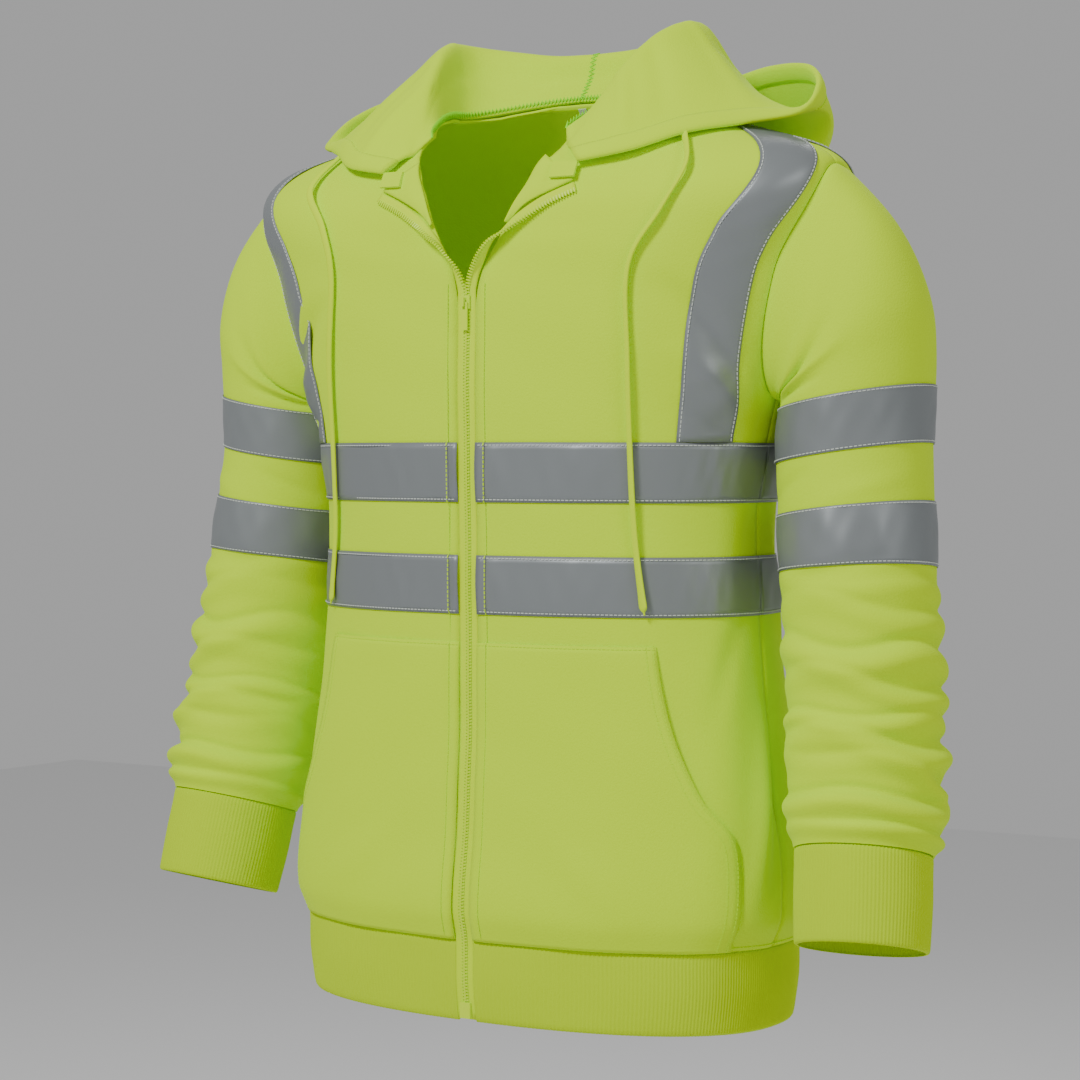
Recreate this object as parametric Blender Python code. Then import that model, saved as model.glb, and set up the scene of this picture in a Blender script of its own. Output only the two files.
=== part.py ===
"""High-visibility hoodie, worn and empty: fleece panels, rib trim, reflective tape, a moulded zip."""

from math import asin, cos, degrees, exp, pi, radians, sin, sqrt

import bmesh
import bpy
from mathutils import Vector

# ---------------------------------------------------------------------------------------------
# Driving sizes, in metres. Heights are measured up from the bottom of the hem.
# The garment faces -Y, the wearer's left is +X, and z = 0 is where the shoulders carry it.
# ---------------------------------------------------------------------------------------------
NECK_HEIGHT = 0.747
SEAM_GAP = 0.0003
FLEECE = 0.0022
RIB_KNIT = 0.0024
TAPE = 0.0008
TAPE_WIDTH = 0.048

HEM_HEIGHT = 0.067
POCKET_TOP = 0.310
WAIST_TAPE_FOOT = 0.333
CHEST_TAPE_FOOT = 0.424
ARMPIT_LEVEL = 0.507
SHOULDER_LEVEL = 0.704
NECK_LEVEL = 0.862
V_FOOT_LEVEL = 0.607

ZIP_HALF_GAP = 0.0090
ZIP_TAPE = 0.0010
ZIP_TAPE_WIDTH = 0.0083
NECK_CORNER_X = 0.070

# The body as rings. A level is a place along the way up. Below the armpit it is the ring's
# height, and above it the ring tilts: its side, front and back have heights of their own.
BODY_RINGS = [
    # level, half_width, front, back, side_height, front_height, back_height, squareness
    (0.000, 0.221, 0.118, 0.138, 0.000, 0.000, 0.000, 2.3),
    (0.034, 0.226, 0.121, 0.141, 0.034, 0.034, 0.034, 2.3),
    (0.0675, 0.227, 0.122, 0.142, 0.0675, 0.0675, 0.0675, 2.3),
    (0.092, 0.235, 0.127, 0.149, 0.092, 0.092, 0.092, 2.3),
    (0.154, 0.232, 0.121, 0.145, 0.154, 0.154, 0.154, 2.3),
    (0.240, 0.218, 0.116, 0.134, 0.240, 0.240, 0.240, 2.3),
    (0.328, 0.207, 0.116, 0.128, 0.328, 0.328, 0.328, 2.3),
    (0.424, 0.205, 0.117, 0.128, 0.424, 0.424, 0.424, 2.3),
    (0.507, 0.222, 0.119, 0.132, 0.507, 0.507, 0.507, 2.3),
    (0.607, 0.254, 0.118, 0.132, 0.607, 0.600, 0.604, 2.4),
    (0.704, 0.274, 0.114, 0.121, 0.694, 0.646, 0.680, 2.4),
    (0.782, 0.190, 0.108, 0.094, 0.728, 0.678, 0.728, 2.2),
    (0.862, 0.088, 0.104, 0.058, 0.750, 0.698, 0.764, 2.0),
]


def eased_row(table, place):
    """The row of a table at a place, on a smooth curve through its rows."""
    rows = table
    last = len(rows) - 1
    k = 0
    while k < last - 1 and place > rows[k + 1][0]:
        k += 1
    span = rows[k + 1][0] - rows[k][0]
    t = min(max((place - rows[k][0]) / span, 0.0), 1.0)

    def slope(j, c):
        before, after = rows[max(j - 1, 0)], rows[min(j + 1, last)]
        return (after[c] - before[c]) / (after[0] - before[0])

    found = []
    for c in range(1, len(rows[0])):
        a, b = rows[k][c], rows[k + 1][c]
        ma, mb = slope(k, c) * span, slope(k + 1, c) * span
        found.append(a * (2 * t**3 - 3 * t**2 + 1) + ma * (t**3 - 2 * t**2 + t)
                     + b * (3 * t**2 - 2 * t**3) + mb * (t**3 - t**2))
    return found


def body_point(level, around):
    """A point of the cloth's outer face. around is 0 at the front, 90 at +X and 180 at the back."""
    half_width, front, back, z_side, z_front, z_back, square = eased_row(BODY_RINGS, level)
    e = radians(around)
    s, c = sin(e), cos(e)
    swell = (abs(s) ** square + abs(c) ** square) ** (-1 / square)
    depth = front if c > 0 else back
    height = z_side * s * s + (z_front if c > 0 else z_back) * c * c
    return Vector((half_width * s * swell, -depth * c * swell, height - NECK_HEIGHT))


def body_normal(level, around):
    step_up, step_round = 0.002, 0.4
    up = body_point(min(level + step_up, NECK_LEVEL), around) - body_point(level - step_up, around)
    on = body_point(level, around + step_round) - body_point(level, around - step_round)
    return on.cross(up).normalized()


def body_out(level, around, lift):
    return body_point(level, around) + body_normal(level, around) * lift


# ---------------------------------------------------------------------------------------------
# Where the panels are cut. Each half of the body is crossed by five lines that run up it:
# the zip or centre back, the line to the neck point, the two edges of the shoulder tape
# (the inner one is also the pocket's mouth), and the side seam with the armhole.
# ---------------------------------------------------------------------------------------------
LOW_LEVELS = [0.0675, 0.085, 0.112, 0.154, 0.183, 0.214, 0.247, 0.280, POCKET_TOP,
              WAIST_TAPE_FOOT, WAIST_TAPE_FOOT + TAPE_WIDTH, CHEST_TAPE_FOOT,
              CHEST_TAPE_FOOT + TAPE_WIDTH]
ARMHOLE_STEPS = 9
ARMHOLE_FRONT_REACH = 22.0
ARMHOLE_BACK_REACH = 28.0
SEAM_ANGLE = 0.09
SIDE_SEAM_DRIFT = 8.0

# around, in degrees, of the inner lines at each level below the armpit
FRONT_LOW_LINES = [
    # level, neck_line, tape_inner_or_pocket_mouth, tape_outer
    (0.0674, 28.0, 64.0, 75.0),
    (0.1541, 28.0, 64.5, 75.0),
    (0.183, 27.0, 56.0, 71.0),
    (0.2138, 26.0, 51.5, 69.0),
    (0.2466, 25.0, 48.5, 68.0),
    (0.3102, 25.0, 46.5, 68.0),
    (0.3853, 25.0, 49.0, 69.0),
    (0.472, 25.0, 51.0, 70.0),
    (0.507, 25.0, 50.0, 68.0),
]
# the same lines above the armpit, as (around, level) pairs on the way up to the shoulder seam
FRONT_HIGH_LINES = [
    # way_up, neck_around, neck_level, inner_around, inner_level, outer_around, outer_level
    (0.00, 25.0, 0.507, 50.0, 0.507, 68.0, 0.507),
    (0.30, 25.0, 0.587, 47.0, 0.572, 63.0, 0.562),
    (0.50, 31.0, 0.657, 46.5, 0.624, 61.5, 0.610),
    (0.70, 43.0, 0.740, 50.0, 0.680, 65.0, 0.658),
    (0.85, 62.0, 0.812, 65.0, 0.738, 76.0, 0.702),
    (1.00, 90.0, 0.862, 90.0, 0.796, 90.0, 0.744),
]
BACK_LOW_LINES = [
    # level, neck_line, tape_inner, tape_outer
    (0.0674, 152.0, 129.0, 112.0),
    (0.507, 152.0, 131.0, 113.0),
]
BACK_HIGH_LINES = [
    (0.00, 152.0, 0.507, 131.0, 0.507, 113.0, 0.507),
    (0.30, 152.0, 0.602, 137.0, 0.572, 121.0, 0.562),
    (0.50, 149.0, 0.672, 138.0, 0.624, 123.5, 0.610),
    (0.70, 138.0, 0.747, 131.0, 0.680, 118.0, 0.658),
    (0.85, 117.0, 0.814, 113.0, 0.738, 105.0, 0.702),
    (1.00, 90.0, 0.862, 90.0, 0.796, 90.0, 0.744),
]
COLUMNS = [3, 2, 2, 2]  # between those lines, from the middle to the side
TAPE_INNER, TAPE_OUTER = 5, 7


def half_width_at(level):
    return eased_row(BODY_RINGS, level)[0]


def armhole(way_up, reach):
    """(around, level) on the armhole, from the armpit at 0 to the shoulder seam at 1."""
    t = (1 - cos(pi * way_up)) / 2
    level = ARMPIT_LEVEL + (SHOULDER_LEVEL - ARMPIT_LEVEL) * t
    return 90.0 + reach * sqrt(max(0.0, 1 - (2 * t - 1) ** 2)), level


def front_edge(level):
    """around of the front's own edge: beside the zip, then out along the V's fold."""
    past = max(0.0, (level - V_FOOT_LEVEL) / (NECK_LEVEL - V_FOOT_LEVEL))
    out = ZIP_HALF_GAP + (NECK_CORNER_X - ZIP_HALF_GAP) * past**0.9
    return degrees(asin(min(1.0, out / half_width_at(level))))


def side_seam(level):
    return 90.0 - SIDE_SEAM_DRIFT * max(0.0, (WAIST_TAPE_FOOT - level) / WAIST_TAPE_FOOT)


def spread(knots):
    """Points between the five lines of one row, as (around, level) pairs."""
    found = [knots[0]]
    for (a, b), count in zip(zip(knots, knots[1:]), COLUMNS):
        for k in range(1, count + 1):
            t = k / count
            found.append((a[0] + (b[0] - a[0]) * t, a[1] + (b[1] - a[1]) * t))
    return found


def half_panel(side):
    """Rows of (around, level) for one half of the front or of the back, for +X."""
    front = side == "front"
    sign = -1 if front else 1
    low = FRONT_LOW_LINES if front else BACK_LOW_LINES
    high = FRONT_HIGH_LINES if front else BACK_HIGH_LINES
    reach = -ARMHOLE_FRONT_REACH if front else ARMHOLE_BACK_REACH
    rows = []
    for level in LOW_LEVELS:
        neck, inner, outer = eased_row(low, level)
        middle = front_edge(level) if front else 180.0
        edge = side_seam(level) + sign * SEAM_ANGLE
        rows.append(spread([(middle, level), (neck, level), (inner, level), (outer, level),
                            (edge, level)]))
    for k in range(ARMHOLE_STEPS + 1):
        way = k / ARMHOLE_STEPS
        na, nl, ia, il, oa, ol = eased_row(high, way)
        edge_around, edge_level = armhole(way, reach)
        middle_level = ARMPIT_LEVEL + (NECK_LEVEL - ARMPIT_LEVEL) * way
        middle = front_edge(middle_level) if front else 180.0
        knots = [(middle, middle_level), (na, nl), (ia, il), (oa, ol), (edge_around, edge_level)]
        limit = 90.0 + sign * SEAM_ANGLE
        held = min if front else max
        rows.append(spread([(held(a, limit), level) for a, level in knots]))
    return rows


def mirrored(rows):
    """The same rows for -X, still running the way around grows."""
    return [[(360.0 - a, level) for a, level in reversed(row)] for row in rows]


def placed(rows, lift=0.0):
    return [[body_out(level, around, lift) for around, level in row] for row in rows]


FRONT = half_panel("front")
BACK_HALF = half_panel("back")
BACK = [list(reversed(half)) + [(360.0 - a, level) for a, level in half[1:]]
        for half in BACK_HALF]
CHEST_TOP_ROW = len(LOW_LEVELS) - 1


# ---------------------------------------------------------------------------------------------
# Making things
# ---------------------------------------------------------------------------------------------
LIME = (0.55, 0.85, 0.03, 1.0)
SILVER = (0.36, 0.38, 0.39, 1.0)
WHITE = (0.85, 0.85, 0.83, 1.0)


def clear_scene():
    for old in list(bpy.data.objects):
        bpy.data.objects.remove(old, do_unlink=True)


def finish(name, colour, roughness, metallic=0.0):
    """A named plain finish, made once."""
    found = bpy.data.materials.get(name)
    if found:
        return found
    made = bpy.data.materials.new(name)
    made.use_nodes = True
    shader = made.node_tree.nodes["Principled BSDF"]
    shader.inputs["Base Color"].default_value = colour
    shader.inputs["Roughness"].default_value = roughness
    shader.inputs["Metallic"].default_value = metallic
    return made


def fleece():
    return finish("lime_fleece", LIME, 0.9)


def rib_knit():
    return finish("lime_rib", LIME, 0.85)


def reflective():
    return finish("reflective_tape", SILVER, 0.4, 0.3)


def zip_plastic():
    return finish("lime_plastic", LIME, 0.35)


def keep(mesh, name, material):
    thing = bpy.data.objects.new(name, mesh)
    mesh.materials.append(material)
    mesh.shade_smooth()
    bpy.data.collections["hoodie"].objects.link(thing)
    return thing


def ridge_first(a, b, c, d):
    """Whether the fold of this quad from a to c stands out, so that layers fold alike."""
    return (b - a).cross(c - a).dot(d - a) <= 0.0


def cloth(name, outer, inner, material, tube=False):
    """A closed wall of cloth lofted between two grids of points, its outer and its inner face.

    Neighbouring pieces offset their inner points along the same directions, so seams stay even."""
    form = bmesh.new()
    faces = [[[form.verts.new(p) for p in row] for row in grid] for grid in (outer, inner)]
    rows, columns = len(outer), len(outer[0])
    steps = columns if tube else columns - 1
    for r in range(rows - 1):
        for c in range(steps):
            n = (c + 1) % columns
            corners = ((r, c), (r, n), (r + 1, n), (r + 1, c))
            if not ridge_first(*(outer[i][j] for i, j in corners)):
                corners = corners[1:] + corners[:1]
            for front, grid in zip((True, False), faces):
                a, b, c2, d = (grid[i][j] for i, j in corners)
                for three in ((a, b, c2), (a, c2, d)):
                    form.faces.new(three if front else three[::-1])
    out, back = faces
    for c in range(steps):
        n = (c + 1) % columns
        form.faces.new((out[0][n], out[0][c], back[0][c], back[0][n]))
        form.faces.new((out[-1][c], out[-1][n], back[-1][n], back[-1][c]))
    if not tube:
        for r in range(rows - 1):
            form.faces.new((out[r][0], out[r + 1][0], back[r + 1][0], back[r][0]))
            form.faces.new((out[r + 1][-1], out[r][-1], back[r][-1], back[r + 1][-1]))
    mesh = bpy.data.meshes.new(name)
    form.to_mesh(mesh)
    form.free()
    return keep(mesh, name, material)


def curve_through(points, steps):
    """Points on a smooth curve through the given ones, steps to a stretch."""
    ends = [points[0] * 2 - points[1]] + list(points) + [points[-1] * 2 - points[-2]]
    found = []
    for a, b, c, d in zip(ends, ends[1:], ends[2:], ends[3:]):
        for k in range(steps):
            t = k / steps
            found.append(0.5 * (2 * b + (c - a) * t + (2 * a - 5 * b + 4 * c - d) * t * t
                                + (3 * b - 3 * c + d - a) * t**3))
    return found + [points[-1]]


def normals_of(grid, tube=False):
    """Outward directions at the points of a grid, from its neighbours."""
    rows, columns = len(grid), len(grid[0])
    found = []
    for r in range(rows):
        line = []
        for c in range(columns):
            up = grid[min(r + 1, rows - 1)][c] - grid[max(r - 1, 0)][c]
            if tube:
                on = grid[r][(c + 1) % columns] - grid[r][c - 1]
            else:
                on = grid[r][min(c + 1, columns - 1)] - grid[r][max(c - 1, 0)]
            line.append(on.cross(up).normalized())
        found.append(line)
    return found


def moved(grid, normals, distance):
    return [[p + n * distance for p, n in zip(row, ns)] for row, ns in zip(grid, normals)]


def mirror_grid(grid):
    """The grid on the other side of the body, its columns still running the same way round."""
    return [[Vector((-p.x, p.y, p.z)) for p in reversed(row)] for row in grid]


# ---------------------------------------------------------------------------------------------
# Body
# ---------------------------------------------------------------------------------------------
def on_body(name, rows, foot, top, material):
    """Cloth that follows the body from one lift over the panels' outer face to another."""
    return cloth(name, placed(rows, top), placed(rows, foot), material)


def body_panels():
    on_body("front_left", FRONT, -FLEECE, 0.0, fleece())
    on_body("front_right", mirrored(FRONT), -FLEECE, 0.0, fleece())
    on_body("back", BACK, -FLEECE, 0.0, fleece())


def body_tapes():
    foot, top = SEAM_GAP, SEAM_GAP + TAPE
    for words, row in (("waist", LOW_LEVELS.index(WAIST_TAPE_FOOT)),
                       ("chest", LOW_LEVELS.index(CHEST_TAPE_FOOT))):
        front = [FRONT[row], FRONT[row + 1]]
        on_body(f"tape_{words}_left", front, foot, top, reflective())
        on_body(f"tape_{words}_right", mirrored(front), foot, top, reflective())
        on_body(f"tape_{words}_back", BACK[row:row + 2], foot, top, reflective())


def shoulder_tape_rows():
    """Up the front from the chest tape, over the shoulder seam and down the back."""
    up = [row[TAPE_INNER:TAPE_OUTER + 1] for row in FRONT[CHEST_TOP_ROW:]]
    down = [row[TAPE_INNER:TAPE_OUTER + 1] for row in reversed(BACK_HALF[CHEST_TOP_ROW:])]
    end_gap = 0.0004
    up[0] = [(around, level + end_gap) for around, level in up[0]]
    down[-1] = [(around, level + end_gap) for around, level in down[-1]]
    return up + down


def shoulder_tapes():
    rows = shoulder_tape_rows()
    foot, top = SEAM_GAP, SEAM_GAP + TAPE
    outer, inner = placed(rows, top), placed(rows, foot)
    cloth("tape_shoulder_left", outer, inner, reflective())
    cloth("tape_shoulder_right", mirror_grid(outer), mirror_grid(inner), reflective())


def pockets():
    """Two halves of the kangaroo pocket, each lifting off the front towards its mouth."""
    top_row = LOW_LEVELS.index(POCKET_TOP)
    rows = [row[:TAPE_INNER + 1] for row in FRONT[:top_row + 1]]
    mouth_lift = 0.003
    mouth_foot = LOW_LEVELS.index(0.154)

    def lifted(extra):
        grid = []
        for r, row in enumerate(rows):
            line = []
            for c, (around, level) in enumerate(row):
                rise = max(0.0, (r - mouth_foot) / (top_row - mouth_foot))
                lift = mouth_lift * sin(pi * rise) * (c / TAPE_INNER) ** 3
                line.append(body_out(level, around, SEAM_GAP + lift + extra))
            grid.append(line)
        return grid

    outer, inner = lifted(FLEECE * 0.8), lifted(0.0)
    cloth("pocket_left", outer, inner, fleece())
    cloth("pocket_right", mirror_grid(outer), mirror_grid(inner), fleece())


# ---------------------------------------------------------------------------------------------
# Rib band at the hem
# ---------------------------------------------------------------------------------------------
def hem_rib():
    """One plain band round the body, open at the zip, its foot drawn in a little."""
    start = front_edge(HEM_HEIGHT / 2)
    stations = 54
    drawn_in = 0.0012
    outer, inner = [], []
    for level in (0.0, 0.008, HEM_HEIGHT / 2, HEM_HEIGHT):
        turned = drawn_in if level == 0.0 else 0.0
        places = [start + (360 - 2 * start) * k / stations for k in range(stations + 1)]
        outer.append([body_out(level, around, -turned) for around in places])
        inner.append([body_out(level, around, -RIB_KNIT) for around in places])
    cloth("hem_rib", outer, inner, rib_knit())


# ---------------------------------------------------------------------------------------------
# Sleeves and cuffs, for +X. Sections swing from the upright armhole to the hanging arm.
# ---------------------------------------------------------------------------------------------
SLEEVE_SECTIONS = [
    # place, x, y, height, tilt_degrees, half_outward, half_forward, pitch_degrees
    (0.000, 0.2480, 0.008, 0.6005, 74.5, 0.0970, 0.055, 0.0),
    (0.040, 0.2728, 0.010, 0.5753, 57.0, 0.0840, 0.060, 0.0),
    (0.080, 0.2838, 0.014, 0.5483, 38.0, 0.0730, 0.066, 0.0),
    (0.120, 0.2848, 0.018, 0.5280, 19.0, 0.0640, 0.067, 0.0),
    (0.150, 0.2841, 0.019, 0.5109, 10.5, 0.0615, 0.067, 0.0),
    (0.200, 0.2815, 0.019, 0.4790, 9.0, 0.0620, 0.066, 0.0),
    (0.250, 0.2835, 0.016, 0.4412, 8.0, 0.0620, 0.065, 1.0),
    (0.340, 0.2905, 0.008, 0.3709, 5.0, 0.0615, 0.064, 5.0),
    (0.450, 0.3020, -0.004, 0.2649, 4.0, 0.0605, 0.062, 11.0),
    (0.555, 0.3125, -0.024, 0.1676, 4.0, 0.0600, 0.061, 15.0),
    (0.573, 0.3140, -0.028, 0.1512, 4.0, 0.0550, 0.056, 15.0),
    (0.610, 0.3175, -0.036, 0.1156, 4.0, 0.0545, 0.0555, 15.0),
    (0.648, 0.3210, -0.045, 0.0790, 4.0, 0.0530, 0.0540, 15.0),
]
SLEEVE_END = 0.5725
CUFF_START = 0.5730
CUFF_END = 0.6480
SLEEVE_TAPES = {"upper": (0.155, 0.222), "lower": (0.279, 0.340)}
ROUND_SLEEVE = 2 * ARMHOLE_STEPS

# Folds of the pushed-up forearm. facing is the side of the sleeve where a fold is deepest,
# 0 under the arm, 90 behind, 180 outside and 270 in front.
FOLDS = [
    # place, depth, half_length, facing, drop_round_the_sleeve
    (0.366, 0.0030, 0.0070, 190.0, 0.010),
    (0.392, 0.0050, 0.0085, 160.0, 0.012),
    (0.420, 0.0080, 0.0095, 210.0, 0.014),
    (0.448, 0.0070, 0.0085, 170.0, 0.010),
    (0.471, 0.0060, 0.0080, 250.0, 0.012),
    (0.493, 0.0080, 0.0090, 190.0, 0.009),
    (0.517, 0.0070, 0.0085, 140.0, 0.010),
    (0.540, 0.0075, 0.0085, 220.0, 0.006),
    (0.561, 0.0050, 0.0060, 180.0, 0.002),
]


def sleeve_ring(place, count, folds=True, lift=0.0):
    """Points of one section, from under the arm, round behind and over the outside."""
    x, y, height, tilt, half_out, half_forward, pitch = eased_row(SLEEVE_SECTIONS, place)
    out = Vector((cos(radians(tilt)), 0.0, sin(radians(tilt))))
    back = Vector((0.0, cos(radians(pitch)), -sin(radians(pitch))))
    middle = Vector((x, y, height - NECK_HEIGHT))
    ring = []
    for k in range(count):
        turn = 2 * pi * k / count
        swell = lift
        if folds:
            for fold_place, depth, half_length, facing, drop in FOLDS:
                side = cos(turn - radians(facing))
                off = (place - fold_place + drop * (1 - side) / 2) / half_length
                swell += depth * exp(-off * off) * (0.62 + 0.38 * side)
        ring.append(middle - out * (cos(turn) * (half_out + swell))
                    + back * (sin(turn) * (half_forward + swell)))
    return ring


def armhole_ring():
    """The body's own points round the armhole, and which way the cloth faces there."""
    ring, facing = [], []
    for k in range(ROUND_SLEEVE):
        rising = k <= ARMHOLE_STEPS
        way = k / ARMHOLE_STEPS if rising else 2 - k / ARMHOLE_STEPS
        around, level = armhole(way, ARMHOLE_BACK_REACH if rising else -ARMHOLE_FRONT_REACH)
        ring.append(body_point(level, around))
        facing.append(body_normal(level, around))
    return ring, facing


def sleeve_places():
    head = [0.008, 0.022, 0.038, 0.056, 0.078, 0.102, 0.128]
    tapes = [*SLEEVE_TAPES["upper"], 0.250, *SLEEVE_TAPES["lower"], 0.352]
    fold_start, fold_step = 0.362, 0.0088
    folds = [fold_start + fold_step * k for k in range(24)]
    return head + tapes + folds + [SLEEVE_END]


def sleeve_surface():
    """The outer grid of the +X sleeve and its outward directions."""
    seam, seam_facing = armhole_ring()
    seam_step = 0.0005
    first = []
    for k, p in enumerate(seam):
        along = seam[(k + 1) % ROUND_SLEEVE] - seam[k - 1]
        first.append(p + seam_facing[k].cross(along).normalized() * seam_step)
    grid = [first]
    merge_over = 0.120
    for place in sleeve_places():
        ring = sleeve_ring(place, ROUND_SLEEVE)
        t = min(1.0, place / merge_over)
        share = t * t * (3 - 2 * t)
        start = sleeve_ring(0.0, ROUND_SLEEVE, folds=False)
        line = []
        for k, p in enumerate(ring):
            carried = p + (seam[k] - start[k])
            line.append(carried.lerp(p, share))
        grid.append(line)
    facing = normals_of(grid, tube=True)
    facing[0] = seam_facing
    facing[-1] = cuff_surface()[1][0]
    return grid, facing


def both_sides(name, outer, inner, material, tube=False):
    cloth(f"{name}_left", outer, inner, material, tube)
    cloth(f"{name}_right", mirror_grid(outer), mirror_grid(inner), material, tube)


def sleeves():
    grid, facing = sleeve_surface()
    both_sides("sleeve", grid, moved(grid, facing, -FLEECE), fleece(), tube=True)
    places = [0.0] + sleeve_places()
    for words, (top, foot) in SLEEVE_TAPES.items():
        rows = slice(places.index(top), places.index(foot) + 1)
        inner = moved(grid[rows], facing[rows], SEAM_GAP)
        outer = moved(grid[rows], facing[rows], SEAM_GAP + TAPE)
        both_sides(f"tape_sleeve_{words}", outer, inner, reflective(), tube=True)


def cuff_surface():
    places = (CUFF_START, 0.592, 0.611, 0.630, CUFF_END)
    grid = [sleeve_ring(place, ROUND_SLEEVE, folds=False) for place in places]
    return grid, normals_of(grid, tube=True)


def cuffs():
    grid, facing = cuff_surface()
    both_sides("cuff", grid, moved(grid, facing, -RIB_KNIT), rib_knit(), tube=True)


# ---------------------------------------------------------------------------------------------
# Hood, worn down. From the neck seam it stands up to a crest, turns out and falls to its free
# edge, which lies on the shoulder in front and is the rim of a hanging pouch behind.
# ---------------------------------------------------------------------------------------------
HOOD_SECTIONS = [
    # around_neck, crest x y height, fall x y height, low x y height, belly x y height, edge x y height
    (48.0, .076, -.084, .711, .080, -.089, .709, .086, -.094, .705, .091, -.098, .701, .095, -.101, .696),
    (60.0, .092, -.050, .756, .103, -.060, .747, .116, -.072, .732, .128, -.082, .716, .138, -.088, .704),
    (75.0, .103, -.016, .794, .120, -.024, .781, .140, -.038, .760, .158, -.050, .736, .172, -.058, .7185),
    (92.0, .113, .016, .814, .138, .008, .793, .166, -.004, .766, .190, -.016, .742, .206, -.022, .727),
    (108.0, .119, .040, .820, .148, .038, .790, .184, .032, .758, .222, .020, .740, .238, .010, .737),
    (124.0, .117, .060, .820, .146, .070, .780, .182, .078, .742, .230, .068, .740, .236, .044, .764),
    (138.0, .103, .074, .817, .128, .098, .762, .152, .120, .695, .204, .124, .722, .208, .078, .784),
    (152.0, .078, .084, .812, .098, .124, .740, .118, .150, .637, .148, .166, .695, .154, .112, .790),
    (166.0, .042, .088, .806, .055, .134, .722, .066, .164, .590, .080, .192, .675, .084, .142, .784),
    (179.86, .0002, .088, .804, .0002, .136, .716, .0002, .166, .573, .0002, .198, .665, .0002, .150, .780),
]
HOOD_COLUMNS = 18
HOOD_STEPS = 2


def hood_half():
    """The hood's +X half as rows from the neck seam to the free edge, and its facing."""
    start = HOOD_SECTIONS[0][0]
    end = HOOD_SECTIONS[-1][0]
    seam_rise = Vector((0.0, 0.0, 0.0005))
    columns = []
    for k in range(HOOD_COLUMNS + 1):
        around = start + (end - start) * k / HOOD_COLUMNS
        sizes = eased_row(HOOD_SECTIONS, around)
        named = [Vector((*sizes[i:i + 2], sizes[i + 2] - NECK_HEIGHT)) for i in range(0, 15, 3)]
        foot = body_point(NECK_LEVEL, around) + seam_rise
        rise = foot.lerp(named[0], 0.5)
        columns.append(curve_through([foot, rise] + named, HOOD_STEPS))
    rows = [[column[r] for column in columns] for r in range(len(columns[0]))]
    return rows, normals_of(rows)


def hood():
    rows, facing = hood_half()
    inner = moved(rows, facing, -FLEECE)
    for line in rows + inner:
        line[-1].x = SEAM_GAP * 0.7
    both_sides("hood", rows, inner, fleece())


# ---------------------------------------------------------------------------------------------
# Lapels, zip and small trim, on the front's own surface
# ---------------------------------------------------------------------------------------------
LAPEL_LINES = [
    # way_up, fold_x, fold_height, edge_x, edge_height
    (0.00, 0.0350, 0.6500, 0.0380, 0.6480),
    (0.33, 0.0440, 0.6670, 0.0500, 0.6600),
    (0.66, 0.0530, 0.6840, 0.0690, 0.6700),
    (1.00, 0.0620, 0.7020, 0.0930, 0.6800),
]
LAPEL_ROWS = 8
LAPEL_COLUMNS = 3
LAPEL_CLEAR = 0.0007
LAPEL_BELLY = 0.0011

# The open part of the zip, seen on the +X side: it leaves the closed part, turns over on its
# sewn edge and runs on along the lapel with its teeth outermost.
ZIP_FOOT = 0.002
ZIP_CLOSED_TOP = 0.594
ZIP_OPEN = [
    # way_up, x, height, lift, turn_degrees
    (0.00, 0.0090, 0.5970, -0.0009, 6.0),
    (0.12, 0.0118, 0.6070, -0.0002, 28.0),
    (0.24, 0.0170, 0.6190, 0.0010, 60.0),
    (0.36, 0.0245, 0.6330, 0.0020, 95.0),
    (0.48, 0.0345, 0.6440, 0.0026, 130.0),
    (0.60, 0.0430, 0.6520, 0.0030, 155.0),
    (0.72, 0.0530, 0.6590, 0.0030, 172.0),
    (0.86, 0.0700, 0.6685, 0.0024, 180.0),
    (1.00, 0.0940, 0.6785, 0.0018, 180.0),
]
ZIP_OPEN_STEPS = 20


def front_place(x, height):
    """(level, around) of the front's point with this x and height."""
    low, high = 0.0, NECK_LEVEL
    for _ in range(30):
        level = (low + high) / 2
        half = half_width_at(level)
        around = degrees(asin(min(0.999, x / half)))
        for _ in range(5):
            around *= x / max(body_point(level, around).x, 1e-6)
        if x > half or body_point(level, around).z + NECK_HEIGHT > height:
            high = level
        else:
            low = level
    return level, around


def front_at(x, height, lift):
    """The front's face at this x and height, moved out."""
    return body_out(*front_place(x, height), lift)


def lapels():
    """The turned-out top of each front, a wall that lies on the front beside the V."""
    outer, inner = [], []
    for r in range(LAPEL_ROWS):
        fold_x, fold_z, edge_x, edge_z = eased_row(LAPEL_LINES, r / (LAPEL_ROWS - 1))
        out_line, in_line = [], []
        for c in range(LAPEL_COLUMNS + 1):
            t = c / LAPEL_COLUMNS
            x, z = fold_x + (edge_x - fold_x) * t, fold_z + (edge_z - fold_z) * t
            rise = LAPEL_CLEAR + LAPEL_BELLY * sin(pi * t)
            in_line.append(front_at(x, z, rise))
            out_line.append(front_at(x, z, rise + FLEECE))
        outer.append(out_line)
        inner.append(in_line)
    both_sides("lapel", outer, inner, fleece())


def zip_line():
    """(sewn edge, outward direction of the front there, turn) up one side of the zip."""
    found = []
    closed_steps = 12
    for k in range(closed_steps + 1):
        height = ZIP_FOOT + (ZIP_CLOSED_TOP - ZIP_FOOT) * k / closed_steps
        place = front_place(ZIP_HALF_GAP - SEAM_GAP, height)
        found.append((body_out(*place, -FLEECE / 2), body_normal(*place), 0.0))
    for k in range(ZIP_OPEN_STEPS + 1):
        x, height, lift, turn = eased_row(ZIP_OPEN, k / ZIP_OPEN_STEPS)
        place = front_place(x, height)
        found.append((body_out(*place, lift), body_normal(*place), radians(turn)))
    return found


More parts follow.
